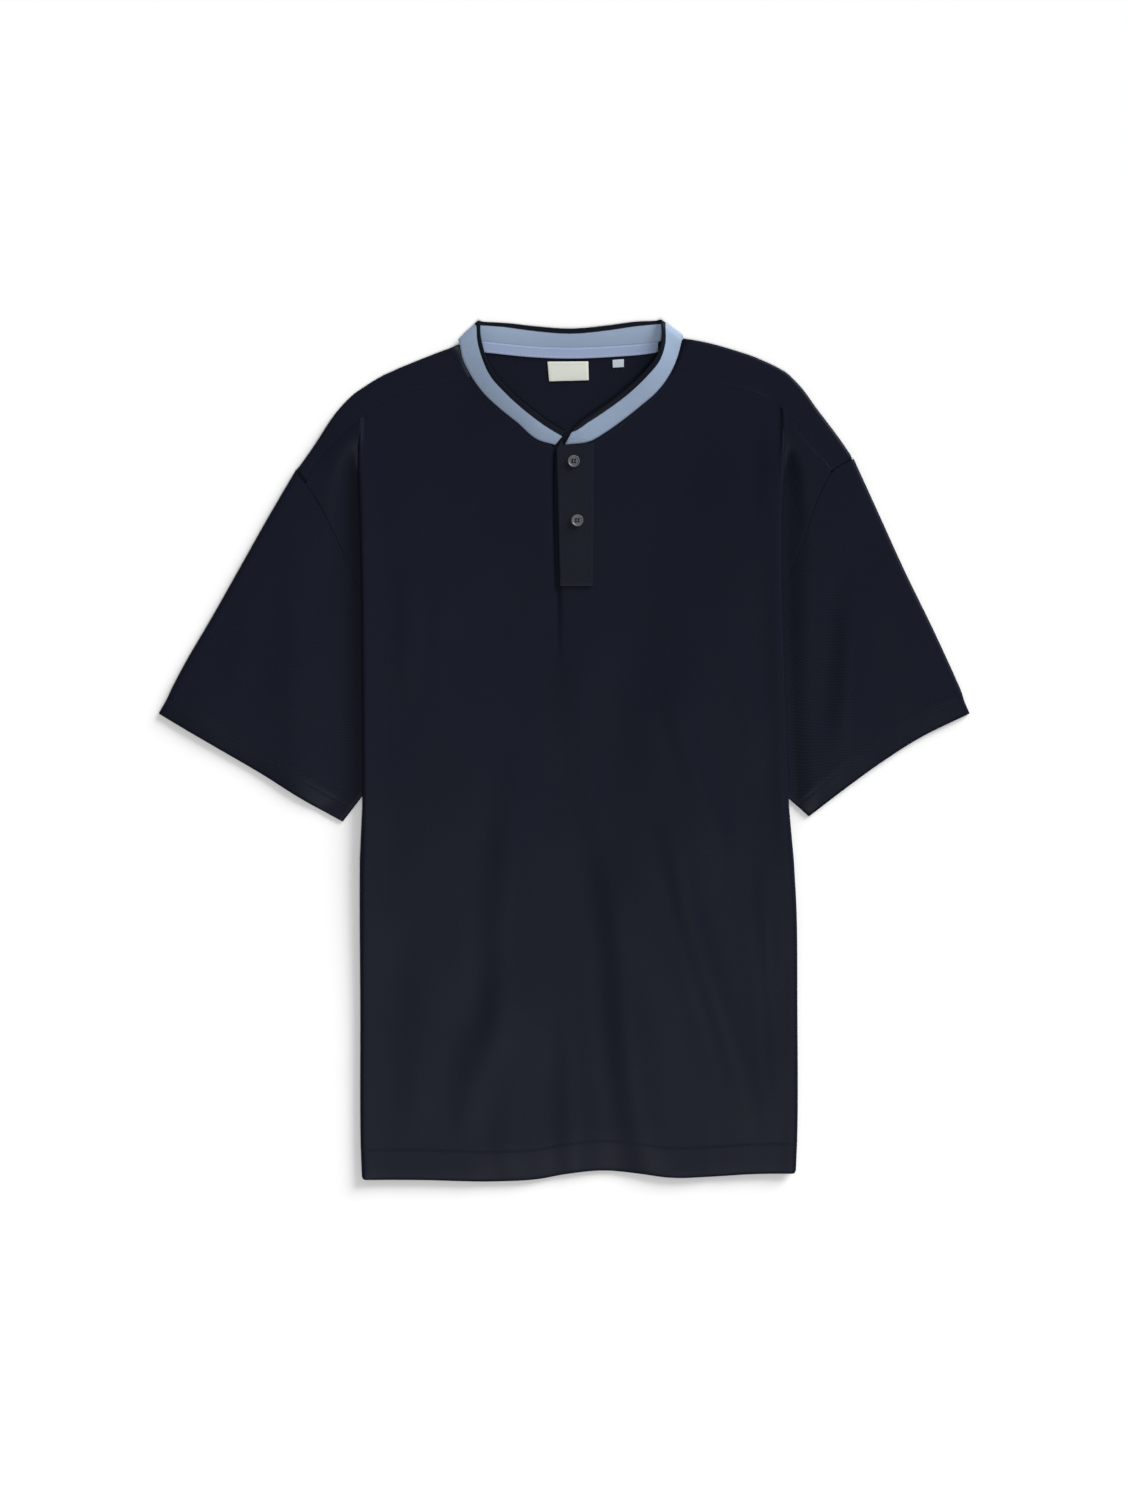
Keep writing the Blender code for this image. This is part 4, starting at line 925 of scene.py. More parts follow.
def sleeve_ring(side, ring):
    """A closed ring of a sleeve's middle surface: over the top, down the underarm, back beneath, and up."""
    kind, depth = ring
    low = CLOTH / 2
    width = math.dist(ring_spot(side, ring, 0), ring_spot(side, ring, 1))
    insets = [((ring_upper(side, ring, v)[2] - low) / 2 + CLOTH / 2) / width for v in ROLL_AT]
    first, last = insets[0], 1 - insets[1]
    upper = [ring_upper(side, ring, blend(first, last, k / SLEEVE_UPPER)) for k in range(SLEEVE_UPPER + 1)]
    thin = min(WALL, turned_wall(CUFF_TURN, depth)) if kind == "cuff" else WALL
    lower = [(*ring_spot(side, ring, blend(last, first, k / SLEEVE_LOWER)), low, thin)
             for k in range(SLEEVE_LOWER + 1)]
    return [*upper, *roll_down(upper[-1], ring_spot(side, ring, 1), low), *lower,
            *roll_down(upper[0], ring_spot(side, ring, 0), low)[::-1]]


def roll_down(start, edge, low):
    """Points of the half round from a sleeve's upper layer to its lower one."""
    out = Vector((edge[0] - start[0], edge[1] - start[1])).normalized()
    radius = (start[2] - low) / 2
    points = []
    for k in range(1, SLEEVE_ROLL):
        a = math.pi * k / SLEEVE_ROLL
        r = radius * math.sin(a)
        points.append((start[0] + out.x * r, start[1] + out.y * r, low + radius * (1 + math.cos(a)),
                       min(start[3], WALL)))
    return points


# ---------------------------------------------------------------------------------------------------------
# Cloth objects

SAME_PLACE = 0.01      # points closer than this become one


def cloth_map(rows, middle, level):
    """Each point's place on the cloth, in metres: its way along the row, and up the column."""
    reach = [None] * len(rows[0])
    spots = []
    for i, row in enumerate(rows):
        ways = [0.0] * len(row)
        for js in (range(middle + 1, len(row)), range(middle - 1, -1, -1)):
            for j in js:
                before = j - 1 if j > middle else j + 1
                step = math.dist(row[j][:3], row[before][:3]) if row[j] and row[before] else 0.0
                ways[j] = ways[before] + (step if j > middle else -step)
        for j, point in enumerate(row):
            if point and reach[j] is None:
                reach[j] = point[1] if level else 0.0
            elif point:
                reach[j] += math.dist(rows[i - 1][j][:3], point[:3])
        spots.append([(way * MM, (up or 0.0) * MM) for way, up in zip(ways, reach)])
    return spots


def loft(bm, rows, closed=False, middle=0, level=False):
    """Faces between rows of points, with the cloth map and the wall's thickness; gaps where points lack."""
    cloth_uv = bm.loops.layers.uv.get("cloth") or bm.loops.layers.uv.new("cloth")
    walls = bm.verts.layers.deform.verify()
    made = []
    for row in rows:
        verts = []
        for point in row:
            vert = None
            if point:
                vert = bm.verts.new(Vector(point[:3]) * MM)
                vert[walls][0] = (point[3] if len(point) > 3 else WALL) / HEM_WALL
            verts.append(vert)
        made.append(verts)
    if closed:
        rows = [[*row, row[0]] for row in rows]
        made = [[*verts, verts[0]] for verts in made]
    spots = cloth_map(rows, middle, level)
    for i in range(len(rows) - 1):
        for j in range(len(rows[0]) - 1):
            corners = ((i, j), (i + 1, j), (i + 1, j + 1), (i, j + 1))
            verts = [made[a][b] for a, b in corners]
            if all(verts):
                face = bm.faces.new(verts)
                for loop, (a, b) in zip(face.loops, corners):
                    loop[cloth_uv].uv = spots[a][b]


def deselect():
    bpy.ops.object.select_all(action="DESELECT")


def activate(obj):
    deselect()
    obj.select_set(True)
    bpy.context.view_layer.objects.active = obj


def apply_modifiers(obj):
    activate(obj)
    for modifier in list(obj.modifiers):
        bpy.ops.object.modifier_apply(modifier=modifier.name)


def new_piece(mesh, name, material):
    """A finished piece of the shirt, riding on its one body."""
    piece = bpy.data.objects.new(name, mesh)
    bpy.context.scene.collection.objects.link(piece)
    mesh.materials.clear()
    mesh.materials.append(material)
    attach(piece, "root")
    return piece


def smooth_faces(mesh):
    for poly in mesh.polygons:
        poly.use_smooth = True


def soften(obj, width, segments, angle):
    """A bevel along the edges that are sharper than an angle in degrees."""
    soft = obj.modifiers.new("soft edges", "BEVEL")
    soft.width = width * MM
    soft.segments = segments
    soft.limit_method = "ANGLE"
    soft.angle_limit = math.radians(angle)


def sew(bm, name, material, wall=None, bevel=0.0):
    """Close a cloth's mesh into a wall around its middle surface, of the stored thickness or of wall."""
    bmesh.ops.remove_doubles(bm, verts=bm.verts, dist=SAME_PLACE * MM)
    bmesh.ops.dissolve_degenerate(bm, edges=bm.edges, dist=SAME_PLACE / 2 * MM)
    bmesh.ops.delete(bm, geom=[v for v in bm.verts if not v.link_faces], context="VERTS")
    bmesh.ops.recalc_face_normals(bm, faces=bm.faces)
    mesh = bpy.data.meshes.new(name)
    bm.to_mesh(mesh)
    bm.free()
    piece = new_piece(mesh, name, material)
    piece.vertex_groups.new(name="wall")
    cloth = piece.modifiers.new("wall", "SOLIDIFY")
    cloth.thickness = (wall or HEM_WALL) * MM
    cloth.offset = 0
    if not wall:
        cloth.vertex_group = "wall"
    if bevel:
        soften(piece, bevel, 2, 50)
    apply_modifiers(piece)
    smooth_faces(piece.data)
    return piece


# ---------------------------------------------------------------------------------------------------------
# Materials. Cloth patterns follow each piece's own map, "cloth", which is in metres

COLOURS = {
    "navy": (0.0054, 0.0070, 0.0150),
    "placket": (0.0078, 0.0096, 0.0148),
    "band_blue": (0.262, 0.334, 0.452),
    "tape_blue": (0.244, 0.300, 0.440),
    "tipping": (0.0042, 0.0058, 0.0105),
    "label": (0.55, 0.57, 0.51),
    "size_label": (0.42, 0.46, 0.50),
    "button": (0.062, 0.066, 0.076),
    "navy_thread": (0.0100, 0.0125, 0.0210),
    "pale_thread": (0.42, 0.47, 0.58),
    "dark_thread": (0.0070, 0.0080, 0.0105),
}


def add(tree, kind, inputs=(), **settings):
    """A node with its settings, its inputs set to values or joined to other nodes' sockets."""
    made = tree.nodes.new(kind)
    for setting, value in settings.items():
        setattr(made, setting, value)
    for place, value in inputs:
        if isinstance(value, bpy.types.NodeSocket):
            tree.links.new(value, made.inputs[place])
        else:
            made.inputs[place].default_value = value
    return made


def calc(tree, operation, a, b=0.0, c=0.0):
    return add(tree, "ShaderNodeMath", ((0, a), (1, b), (2, c)), operation=operation).outputs[0]


def new_group(name, inputs, outputs):
    """An empty node group with named sockets; gives its tree and its input and output nodes."""
    tree = bpy.data.node_groups.new(name, "ShaderNodeTree")
    for socket, kind in inputs:
        tree.interface.new_socket(socket, in_out="INPUT", socket_type=kind)
    for socket, kind in outputs:
        tree.interface.new_socket(socket, in_out="OUTPUT", socket_type=kind)
    return tree, tree.nodes.new("NodeGroupInput"), tree.nodes.new("NodeGroupOutput")


def unevenness(tree, given, scale):
    """A noise round zero, as strong as the group's socket Uneven says."""
    wander = add(tree, "ShaderNodeTexNoise", (("Vector", given.outputs["Vector"]), ("Scale", scale)))
    return calc(tree, "MULTIPLY", calc(tree, "SUBTRACT", wander.outputs["Fac"], 0.5), given.outputs["Uneven"])


def varied(tree, given, noise_node, strength, around):
    """A value that a noise moves up and down, as strong as one of the group's sockets says."""
    return calc(tree, "MULTIPLY_ADD", calc(tree, "SUBTRACT", noise_node.outputs["Fac"], 0.5),
                given.outputs[strength], around)


def scaled(tree, colour, share):
    """A colour times a share."""
    return add(tree, "ShaderNodeVectorMath", ((0, colour), (1, share)), operation="MULTIPLY").outputs[0]


def spread(tree, value, low, high):
    """A value from 0 to 1 spread between low and high."""
    return add(tree, "ShaderNodeMapRange", (("Value", value), ("To Min", low), ("To Max", high))).outputs[0]


def make_pique_group():
    """Staggered small bumps of pique, a little uneven, and a mask of the pits between them where shade is
    painted.
    """
    tree, given, result = new_group(
        "pique_bumps",
        (("Vector", "NodeSocketVector"), ("Cell", "NodeSocketFloat"), ("Uneven", "NodeSocketFloat")),
        (("Height", "NodeSocketFloat"), ("Painted_Pit_Shade", "NodeSocketFloat")))
    place = add(tree, "ShaderNodeSeparateXYZ", ((0, given.outputs["Vector"]),))
    shift = unevenness(tree, given, 420.0)
    turns = calc(tree, "DIVIDE", 2 * math.pi, given.outputs["Cell"])
    across = calc(tree, "SINE", calc(tree, "MULTIPLY_ADD", place.outputs["X"], turns, shift))
    up = calc(tree, "SINE", calc(tree, "MULTIPLY_ADD", place.outputs["Y"], turns, shift))
    height = calc(tree, "MULTIPLY_ADD", calc(tree, "MULTIPLY", across, up), 0.5, 0.5)
    tree.links.new(height, result.inputs["Height"])
    tree.links.new(calc(tree, "POWER", calc(tree, "SUBTRACT", 1.0, height), 2.0), result.inputs["Painted_Pit_Shade"])
    return tree


def make_rib_group():
    """Fine ribs that run along a direction on the cloth map, a little uneven."""
    tree, given, result = new_group(
        "fine_ribs",
        (("Vector", "NodeSocketVector"), ("Across", "NodeSocketFloat"), ("Up", "NodeSocketFloat"),
         ("Uneven", "NodeSocketFloat")),
        (("Height", "NodeSocketFloat"),))
    place = add(tree, "ShaderNodeSeparateXYZ", ((0, given.outputs["Vector"]),))
    shift = unevenness(tree, given, 500.0)
    across = calc(tree, "MULTIPLY_ADD", place.outputs["X"], given.outputs["Across"], shift)
    turn = calc(tree, "MULTIPLY_ADD", place.outputs["Y"], given.outputs["Up"], across)
    height = calc(tree, "MULTIPLY_ADD", calc(tree, "SINE", turn), 0.5, 0.5)
    tree.links.new(height, result.inputs["Height"])
    return tree


def make_tone_group():
    """A colour that varies slightly, in broad soft patches and fibre by fibre."""
    tree, given, result = new_group(
        "yarn_tone",
        (("Vector", "NodeSocketVector"), ("Color", "NodeSocketColor"), ("Patches", "NodeSocketFloat"),
         ("Fibres", "NodeSocketFloat")),
        (("Color", "NodeSocketColor"), ("Fibre", "NodeSocketFloat")))
    broad, fine = (add(tree, "ShaderNodeTexNoise", (("Vector", given.outputs["Vector"]), ("Scale", scale),
                                                    ("Detail", 3.0))) for scale in (14.0, 1500.0))
    light = varied(tree, given, fine, "Fibres", varied(tree, given, broad, "Patches", 1.0))
    tree.links.new(scaled(tree, given.outputs["Color"], light), result.inputs["Color"])
    tree.links.new(fine.outputs["Fac"], result.inputs["Fibre"])
    return tree


PIQUE = make_pique_group()
RIBS = make_rib_group()
TONE = make_tone_group()


def new_material(name, roughness=0.9, specular=0.015, gloss=0.10):
    """A material with its Principled shader; gives the material, its tree and the shader."""
    material = bpy.data.materials.new(name)
    material.use_nodes = True
    tree = material.node_tree
    shader = tree.nodes["Principled BSDF"]
    shader.inputs["Roughness"].default_value = roughness
    shader.inputs["Specular IOR Level"].default_value = specular
    if gloss:
        shader.inputs["Coat Weight"].default_value = gloss
        shader.inputs["Coat Roughness"].default_value = 0.4
    return material, tree, shader


def cloth_place(tree):
    return add(tree, "ShaderNodeUVMap", uv_map="cloth").outputs[0]


def use_group(tree, group, inputs):
    return add(tree, "ShaderNodeGroup", inputs, node_tree=group)


def toned(tree, place, colour, patches=0.10, fibres=0.30):
    return use_group(tree, TONE, (("Vector", place), ("Color", (*colour, 1)), ("Patches", patches),
                                  ("Fibres", fibres)))


def bump(tree, shader, height, distance, strength=1.0):
    made = add(tree, "ShaderNodeBump", (("Height", height), ("Distance", distance), ("Strength", strength)))
    tree.links.new(made.outputs[0], shader.inputs["Normal"])


def make_pique(name, colour, cell=2.4, depth=0.22):
    """Cotton pique: staggered bumps, with painted shade that darkens the colour in the pits, and fine fibres.
    """
    material, tree, shader = new_material(name)
    place = cloth_place(tree)
    knit = use_group(tree, PIQUE, (("Vector", place), ("Cell", cell * MM), ("Uneven", 1.6)))
    tone = toned(tree, place, colour)
    # painted shade: the colour is darkened to 0.55 of itself in the pits between the bumps
    dark = add(tree, "ShaderNodeMix", ((0, knit.outputs["Painted_Pit_Shade"]), (6, tone.outputs["Color"]),
                                       (7, (*[c * 0.55 for c in colour], 1))), data_type="RGBA")
    tree.links.new(dark.outputs[2], shader.inputs["Base Color"])
    height = calc(tree, "MULTIPLY_ADD", tone.outputs["Fibre"], 0.35, knit.outputs["Height"])
    bump(tree, shader, height, depth * MM)
    return material


def make_ribbed(name, colour, across, up, depth, roughness=0.85):
    """Ribbed or woven cloth, with painted shade in the furrows between its ribs and painted highlight on their
    crests; across and up are ribs per metre along the map's two directions. Gives the material, its tree, its
    shader, the map and the colour."""
    material, tree, shader = new_material(name, roughness=roughness, gloss=0.08)
    place = cloth_place(tree)
    ribs = use_group(tree, RIBS, (("Vector", place), ("Across", across * 2 * math.pi),
                                  ("Up", up * 2 * math.pi), ("Uneven", 0.8)))
    tone = toned(tree, place, colour, fibres=0.25)
    # painted shade and highlight: the colour runs from 0.86 in the furrows to 1.08 on the ribs' crests
    low = calc(tree, "MULTIPLY_ADD", ribs.outputs["Height"], 0.22, 0.86)
    shaded = scaled(tree, tone.outputs["Color"], low)
    tree.links.new(shaded, shader.inputs["Base Color"])
    height = calc(tree, "MULTIPLY_ADD", tone.outputs["Fibre"], 0.4, ribs.outputs["Height"])
    bump(tree, shader, height, depth * MM)
    return material, tree, shader, place, shaded


def make_band_material():
    """Pale blue rib knit, with a navy stripe knitted along its outer edge."""
    material, tree, shader, place, shaded = make_ribbed("band_rib", COLOURS["band_blue"], 0.0, 770.0, 0.16)
    across = add(tree, "ShaderNodeSeparateXYZ", ((0, place),)).outputs["X"]
    wander = add(tree, "ShaderNodeTexNoise", (("Vector", place), ("Scale", 700.0)))
    edge = calc(tree, "MULTIPLY_ADD", wander.outputs["Fac"], 0.0007, across)
    blue = add(tree, "ShaderNodeMapRange", (("Value", edge), ("From Min", (TIPPING + 0.15) * MM),
                                            ("From Max", (TIPPING + 0.65) * MM))).outputs[0]
    knit = add(tree, "ShaderNodeMix", ((0, blue), (6, (*COLOURS["tipping"], 1)), (7, shaded)), data_type="RGBA")
    tree.links.new(knit.outputs[2], shader.inputs["Base Color"])
    return material


def make_button_material():
    """Moulded button: grey with a faint swirl, satin."""
    material, tree, shader = new_material("button_grey", roughness=0.34, specular=0.5, gloss=0)
    place = add(tree, "ShaderNodeTexCoord").outputs["Object"]
    swirl = add(tree, "ShaderNodeTexNoise", (("Vector", place), ("Scale", 260.0), ("Detail", 4.0),
                                             ("Distortion", 1.2)))
    light = add(tree, "ShaderNodeMapRange", (("Value", swirl.outputs["Fac"]), ("From Min", 0.3),
                                             ("From Max", 0.7), ("To Min", 0.8), ("To Max", 1.25))).outputs[0]
    tree.links.new(scaled(tree, COLOURS["button"], light), shader.inputs["Base Color"])
    tree.links.new(spread(tree, swirl.outputs["Fac"], 0.26, 0.44), shader.inputs["Roughness"])
    bump(tree, shader, swirl.outputs["Fac"], 0.03 * MM)
    return material


def make_thread(name):
    """Twisted sewing thread, in the colour of the same name, with painted shade and highlight along its twist.
    """
    colour = COLOURS[name]
    material, tree, shader = new_material(name, roughness=0.7, specular=0.1, gloss=0)
    place = add(tree, "ShaderNodeTexCoord").outputs["Object"]
    twist = add(tree, "ShaderNodeTexWave", (("Vector", place), ("Scale", 900.0), ("Distortion", 1.5)),
                bands_direction="DIAGONAL")
    # painted shade and highlight: the colour runs from 0.75 to 1.2 of itself along the bands of the twist
    shaded = scaled(tree, colour, spread(tree, twist.outputs["Fac"], 0.75, 1.2))
    tree.links.new(shaded, shader.inputs["Base Color"])
    bump(tree, shader, twist.outputs["Fac"], 0.06 * MM)
    return material


LABEL_WEAVE = (0.0, 2200.0, 0.05, 0.6)       # threads across, threads up, depth, roughness
MATERIALS = {
    "body": make_pique("navy_pique", COLOURS["navy"]),
    "band": make_band_material(),
    "placket": make_ribbed("placket_weave", COLOURS["placket"], 900.0, 420.0, 0.07)[0],
    "tape": make_ribbed("herringbone_tape", COLOURS["tape_blue"], 620.0, 620.0, 0.12)[0],
    "label": make_ribbed("woven_label", COLOURS["label"], *LABEL_WEAVE)[0],
    "size_label": make_ribbed("woven_size_label", COLOURS["size_label"], *LABEL_WEAVE)[0],
    "button": make_button_material(),
    **{name: make_thread(name) for name in ("navy_thread", "pale_thread", "dark_thread")},
}


# ---------------------------------------------------------------------------------------------------------
# Stitches: one is modelled, and copied along each sewing line

STITCH_SIZE = (2.3, 0.62, 0.5)         # length, width, height
STITCH_PITCH = 3.0
STITCH_ENDS = 0.3      # past this share of the length off the middle a stitch is drawn down
STITCH_DRAWN = 0.3     # by this share of its height
STITCH_PROUD, STITCH_SUNK = 0.05, 0.22       # its middle over the cloth's face, and under it beneath the shirt


def model_stitch(length, width, height):
    """One stitch lying along x: a bead of thread with its ends drawn down."""
    deselect()
    bpy.ops.mesh.primitive_uv_sphere_add(segments=6, ring_count=5, radius=1, rotation=(0, math.pi / 2, 0))
    stitch = bpy.context.object
    bpy.ops.object.transform_apply(location=True, rotation=True, scale=True)
    stitch.scale = Vector((length / 2, width / 2, height / 2)) * MM
    bpy.ops.object.transform_apply(location=False, rotation=False, scale=True)
    bpy.ops.object.mode_set(mode="EDIT")
    bpy.ops.mesh.select_mode(type="VERT")
    bpy.ops.mesh.select_all(action="DESELECT")
    bpy.ops.object.mode_set(mode="OBJECT")
    for vert in stitch.data.vertices:
        vert.select = abs(vert.co.x) > STITCH_ENDS * length * MM
    bpy.ops.object.mode_set(mode="EDIT")
    bpy.ops.transform.translate(value=(0, 0, -STITCH_DRAWN * height * MM))
    bpy.ops.object.mode_set(mode="OBJECT")
    mesh = stitch.data.copy()
    bpy.data.objects.remove(stitch)
    return mesh


STITCH = model_stitch(*STITCH_SIZE)


def spaced(path, pitch):
    """Places every pitch millimetres along a path, each as its run of the path and its share of that run."""
    places, left = [], pitch / 2
    for k, (a, b) in enumerate(zip(path, path[1:])):
        length = math.dist(a[:3], b[:3])
        while left <= length and length > 0:
            places.append((k, left / length))
            left += pitch
        left -= length
    return places


def sew_line(name, lines, material="navy_thread", pitch=STITCH_PITCH):
    """Stitches along paths of (x, y, z, nx, ny, nz): places on the cloth and the way out of it."""
    bm = bmesh.new()
    for path in lines:
        for k, share in spaced(path, pitch):
            a, b = Vector(path[k][:3]), Vector(path[k + 1][:3])
            out = Vector(path[k][3:]).lerp(Vector(path[k + 1][3:]), share).normalized()
            run = (b - a).normalized()
            side = out.cross(run).normalized()
            out = run.cross(side)
            spot = a.lerp(b, share) * MM
            copy = STITCH.copy()
            for vert in copy.vertices:
                vert.co = spot + run * vert.co.x + side * vert.co.y + out * vert.co.z
            bm.from_mesh(copy)
            bpy.data.meshes.remove(copy)
    mesh = bpy.data.meshes.new(name)
    bm.to_mesh(mesh)
    bm.free()
    smooth_faces(mesh)
    return new_piece(mesh, name, MATERIALS[material])


def row_line(grid, i, skipped=0):
    """A sewing line along a grid's row, as points with the way out of the cloth and half its thickness."""
    row = grid[i]
    line = []
    for j in range(skipped, len(row) - skipped):
        here = row[j]
        before, after = row[(j - 1) % len(row)], row[(j + 1) % len(row)]
        if not here or not before or not after or not grid[i + 1][j] or not grid[i - 1][j]:
            continue
        run = Vector(after[:3]) - Vector(before[:3])
        up = Vector(grid[i + 1][j][:3]) - Vector(grid[i - 1][j][:3])
        line.append((here, run.cross(up).normalized(), here[3] / 2))
    return line


def outward(line, sign):
    """Places of stitches on one side of a line; underneath they sink into the cloth, clear of the floor."""
    places = []
    for point, normal, half in line:
        out = normal * sign
        proud = blend(STITCH_PROUD, -STITCH_SUNK, smooth(-2 * out.z))
        places.append((*(Vector(point[:3]) + out * (half + proud)), *out))
    return places


def surface_line(points, height, extra=0.0):
    """A sewing line on top of a height function, along points (x, y)."""
    return [(x, y, height(x, y) + extra, 0, 0, 1) for x, y in points]


# ---------------------------------------------------------------------------------------------------------
# The garment's pieces

HEM_SKIPPED = LIP_STEPS + len(RETURN_STOPS) - 1      # points at both ends of a row, past the tucked strips


def make_front():
    grid = panel_grid(FRONT)
    bm = bmesh.new()
    loft(bm, grid, middle=len(grid[0]) // 2, level=True)
    piece = sew(bm, "front_pique", MATERIALS["body"])
    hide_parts("front_panel")
    return piece, outward(row_line(grid, HEM_STITCH, HEM_SKIPPED), 1)


def make_back():
    grid = panel_grid(BACK)
    bm = bmesh.new()
    loft(bm, grid, middle=len(grid[0]) // 2, level=True)
    for side in (-1, 1):
        loft(bm, shoulder_wrap(grid, side))
    piece = sew(bm, "back_pique", MATERIALS["body"])
    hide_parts("back_panel")
    return piece, outward(row_line(grid, HEM_STITCH, HEM_SKIPPED), -1)


def make_sleeve(name, node, side):
    grid = [sleeve_ring(side, ring) for ring in SLEEVE_RINGS]
    bm = bmesh.new()
    loft(bm, grid, closed=True)
    piece = sew(bm, name, MATERIALS["body"])
    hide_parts(node)
    line = row_line(grid, STITCH_RING)
    _, normal, _ = max(line, key=lambda entry: entry[0][2])
    places = outward(line, 1 if normal.z > 0 else -1)
    return piece, [*places, places[0]]


BAND_STEPS = 10
BAND_STOPS = (0, 0.012, 0.03, 0.06, 0.1, 0.16, 0.24, 0.34, 0.46, 0.58, 0.7, 0.82, 0.92, 1.0)
BAND_CROWN = 0.5       # how much the band bellies out between seam and edge
BAND_WALL = 1.7
BAND_TIP, BAND_TIP_SHARE = 0.42, 0.07        # share of its thickness at the tipped edge, and where it is full
BAND_SUNK, BAND_SUNK_SHARE = 0.5, 0.06       # how much thinner it is at the seam, over this share of its width


def band_wall(share):
    """Thickness of the band at a share of its width, from the tipped edge to the seam."""
    tip = blend(BAND_TIP, 1.0, smooth(share / BAND_TIP_SHARE))
    return BAND_WALL * tip - BAND_SUNK * smooth((share - 1 + BAND_SUNK_SHARE) / BAND_SUNK_SHARE)


def make_band():
    seam, tip = (band_path(0, len(BAND) - 1, edge, BAND_STEPS) for edge in ("seam", "tip"))
    rows = []
    for s, t in zip(seam, tip):
        row = []
        for share in BAND_STOPS:
            x, y, z = (blend(p, q, share) for p, q in zip(t, s))
            row.append((x, y, z + BAND_CROWN * math.sin(math.pi * share), band_wall(share)))
        rows.append(row)
    bm = bmesh.new()
    loft(bm, rows)
    piece = sew(bm, "band_rib_knit", MATERIALS["band"])
    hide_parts("neck_band")
    return piece


def inner_back(x, y):
    """Middle height of trim lying on the inside of the back."""
    return body_under(x, y) + CLOTH + LAYER_GAP + TRIM / 2


TAPE_WALL, TAPE_LINE = 0.85, 0.42       # the tape's thickness, and how far over its middle its stitches lie
TAPE_STEPS = (3.0, 2.2)
TAPE_MARGIN = 1.5      # from the tape's edges to its stitches
LABEL_WALL, LABEL_SUNK = 0.55, 0.1
LABEL_LINE = 0.28
LABEL_COLUMNS, LABEL_ROWS = 14, 8


def make_tape():
    xs = subdivided(TAPE_ENDS, TAPE_STEPS[0])
    rows = [[(x, back_neck(x) - down, inner_back(x, back_neck(x) - down)) for x in xs]
            for down in subdivided((0, TAPE_WIDTH), TAPE_STEPS[1])]
    bm = bmesh.new()
    loft(bm, rows)
    piece = sew(bm, "neck_tape_twill", MATERIALS["tape"], wall=TAPE_WALL, bevel=0.25)
    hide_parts("neck_tape")
    lines = [surface_line([(x, back_neck(x) - down) for x in xs[1:-1]], inner_back, TAPE_LINE)
             for down in (TAPE_MARGIN, TAPE_WIDTH - TAPE_MARGIN)]
    return piece, lines


def make_label(name, node, corners, material, lift):
    """A blank woven label, lifted a little and unevenly along its middle; gives it and its sewing line."""
    a, b, c, d = corners
    rows = []
    for i in range(LABEL_ROWS + 1):
        down = i / LABEL_ROWS
        left, right = ([blend(p, q, down) for p, q in zip(*edge)] for edge in ((a, d), (b, c)))
        row = []
        for k in range(LABEL_COLUMNS + 1):
            across = k / LABEL_COLUMNS
            x, y = (blend(p, q, across) for p, q in zip(left, right))
            up = lift * math.sin(math.pi * down) * (0.6 + 0.4 * math.sin(2.2 * across + 0.4))
            row.append((x, y, inner_back(x, y) - LABEL_SUNK + up))
        rows.append(row)
    bm = bmesh.new()
    loft(bm, rows)
    piece = sew(bm, name, MATERIALS[material], wall=LABEL_WALL, bevel=0.15)
    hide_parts(node)
    return piece, [(x, y, z + LABEL_LINE, 0, 0, 1) for x, y, z in rows[1][1:-1]]


PLACKET_WALL = 1.5
PLACKET_COLUMN = 0.05
PLACKET_ROWS = 44
PLACKET_MARGIN = 2.0   # from the placket's edges to its stitches
PLACKET_BOX = 22.0     # height of the upper line across its foot
PLACKET_LINE_TOP = 284


def placket_spot(share, y):
    return blend(look_up(PLACKET_LEFT, y), look_up(PLACKET_RIGHT, y), share)


def placket_height(x, y):
    return body_top(x, y) + LAYER_GAP + PLACKET_CLOTH / 2


def make_placket():
    foot = PLACKET_LEFT[0][0]
    shares = subdivided([share for share, _ in PLACKET_TOP], PLACKET_COLUMN)
    rows = []
    for k in range(PLACKET_ROWS + 1):
        row = []
        for share in shares:
            y = blend(foot, look_up(PLACKET_TOP, share), k / PLACKET_ROWS)
            x = placket_spot(share, y)
            row.append((x, y, placket_height(x, y) + waves(x, y, *PLACKET_WAVES)))
        rows.append(row)
    bm = bmesh.new()
    loft(bm, rows)
    piece = sew(bm, "placket_weave", MATERIALS["placket"], wall=PLACKET_WALL, bevel=0.4)
    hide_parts("placket")
    lines = []
    for share, inset in ((0, PLACKET_MARGIN), (1, -PLACKET_MARGIN)):
        lines.append([(placket_spot(share, y) + inset, y)
                      for y in subdivided((foot + PLACKET_MARGIN, PLACKET_LINE_TOP), 6)])
    for y in (foot + PLACKET_MARGIN, foot + PLACKET_BOX):
        ends = placket_spot(0, y) + PLACKET_MARGIN, placket_spot(1, y) - PLACKET_MARGIN
        lines.append([(blend(*ends, k / 8), y) for k in range(9)])
    return piece, [surface_line(line, placket_height, PLACKET_CLOTH / 2) for line in lines]


def front_surface(x, y):
    return creased_top(x, y) - CLOTH / 2 + WALL / 2


# ---------------------------------------------------------------------------------------------------------
# Buttons

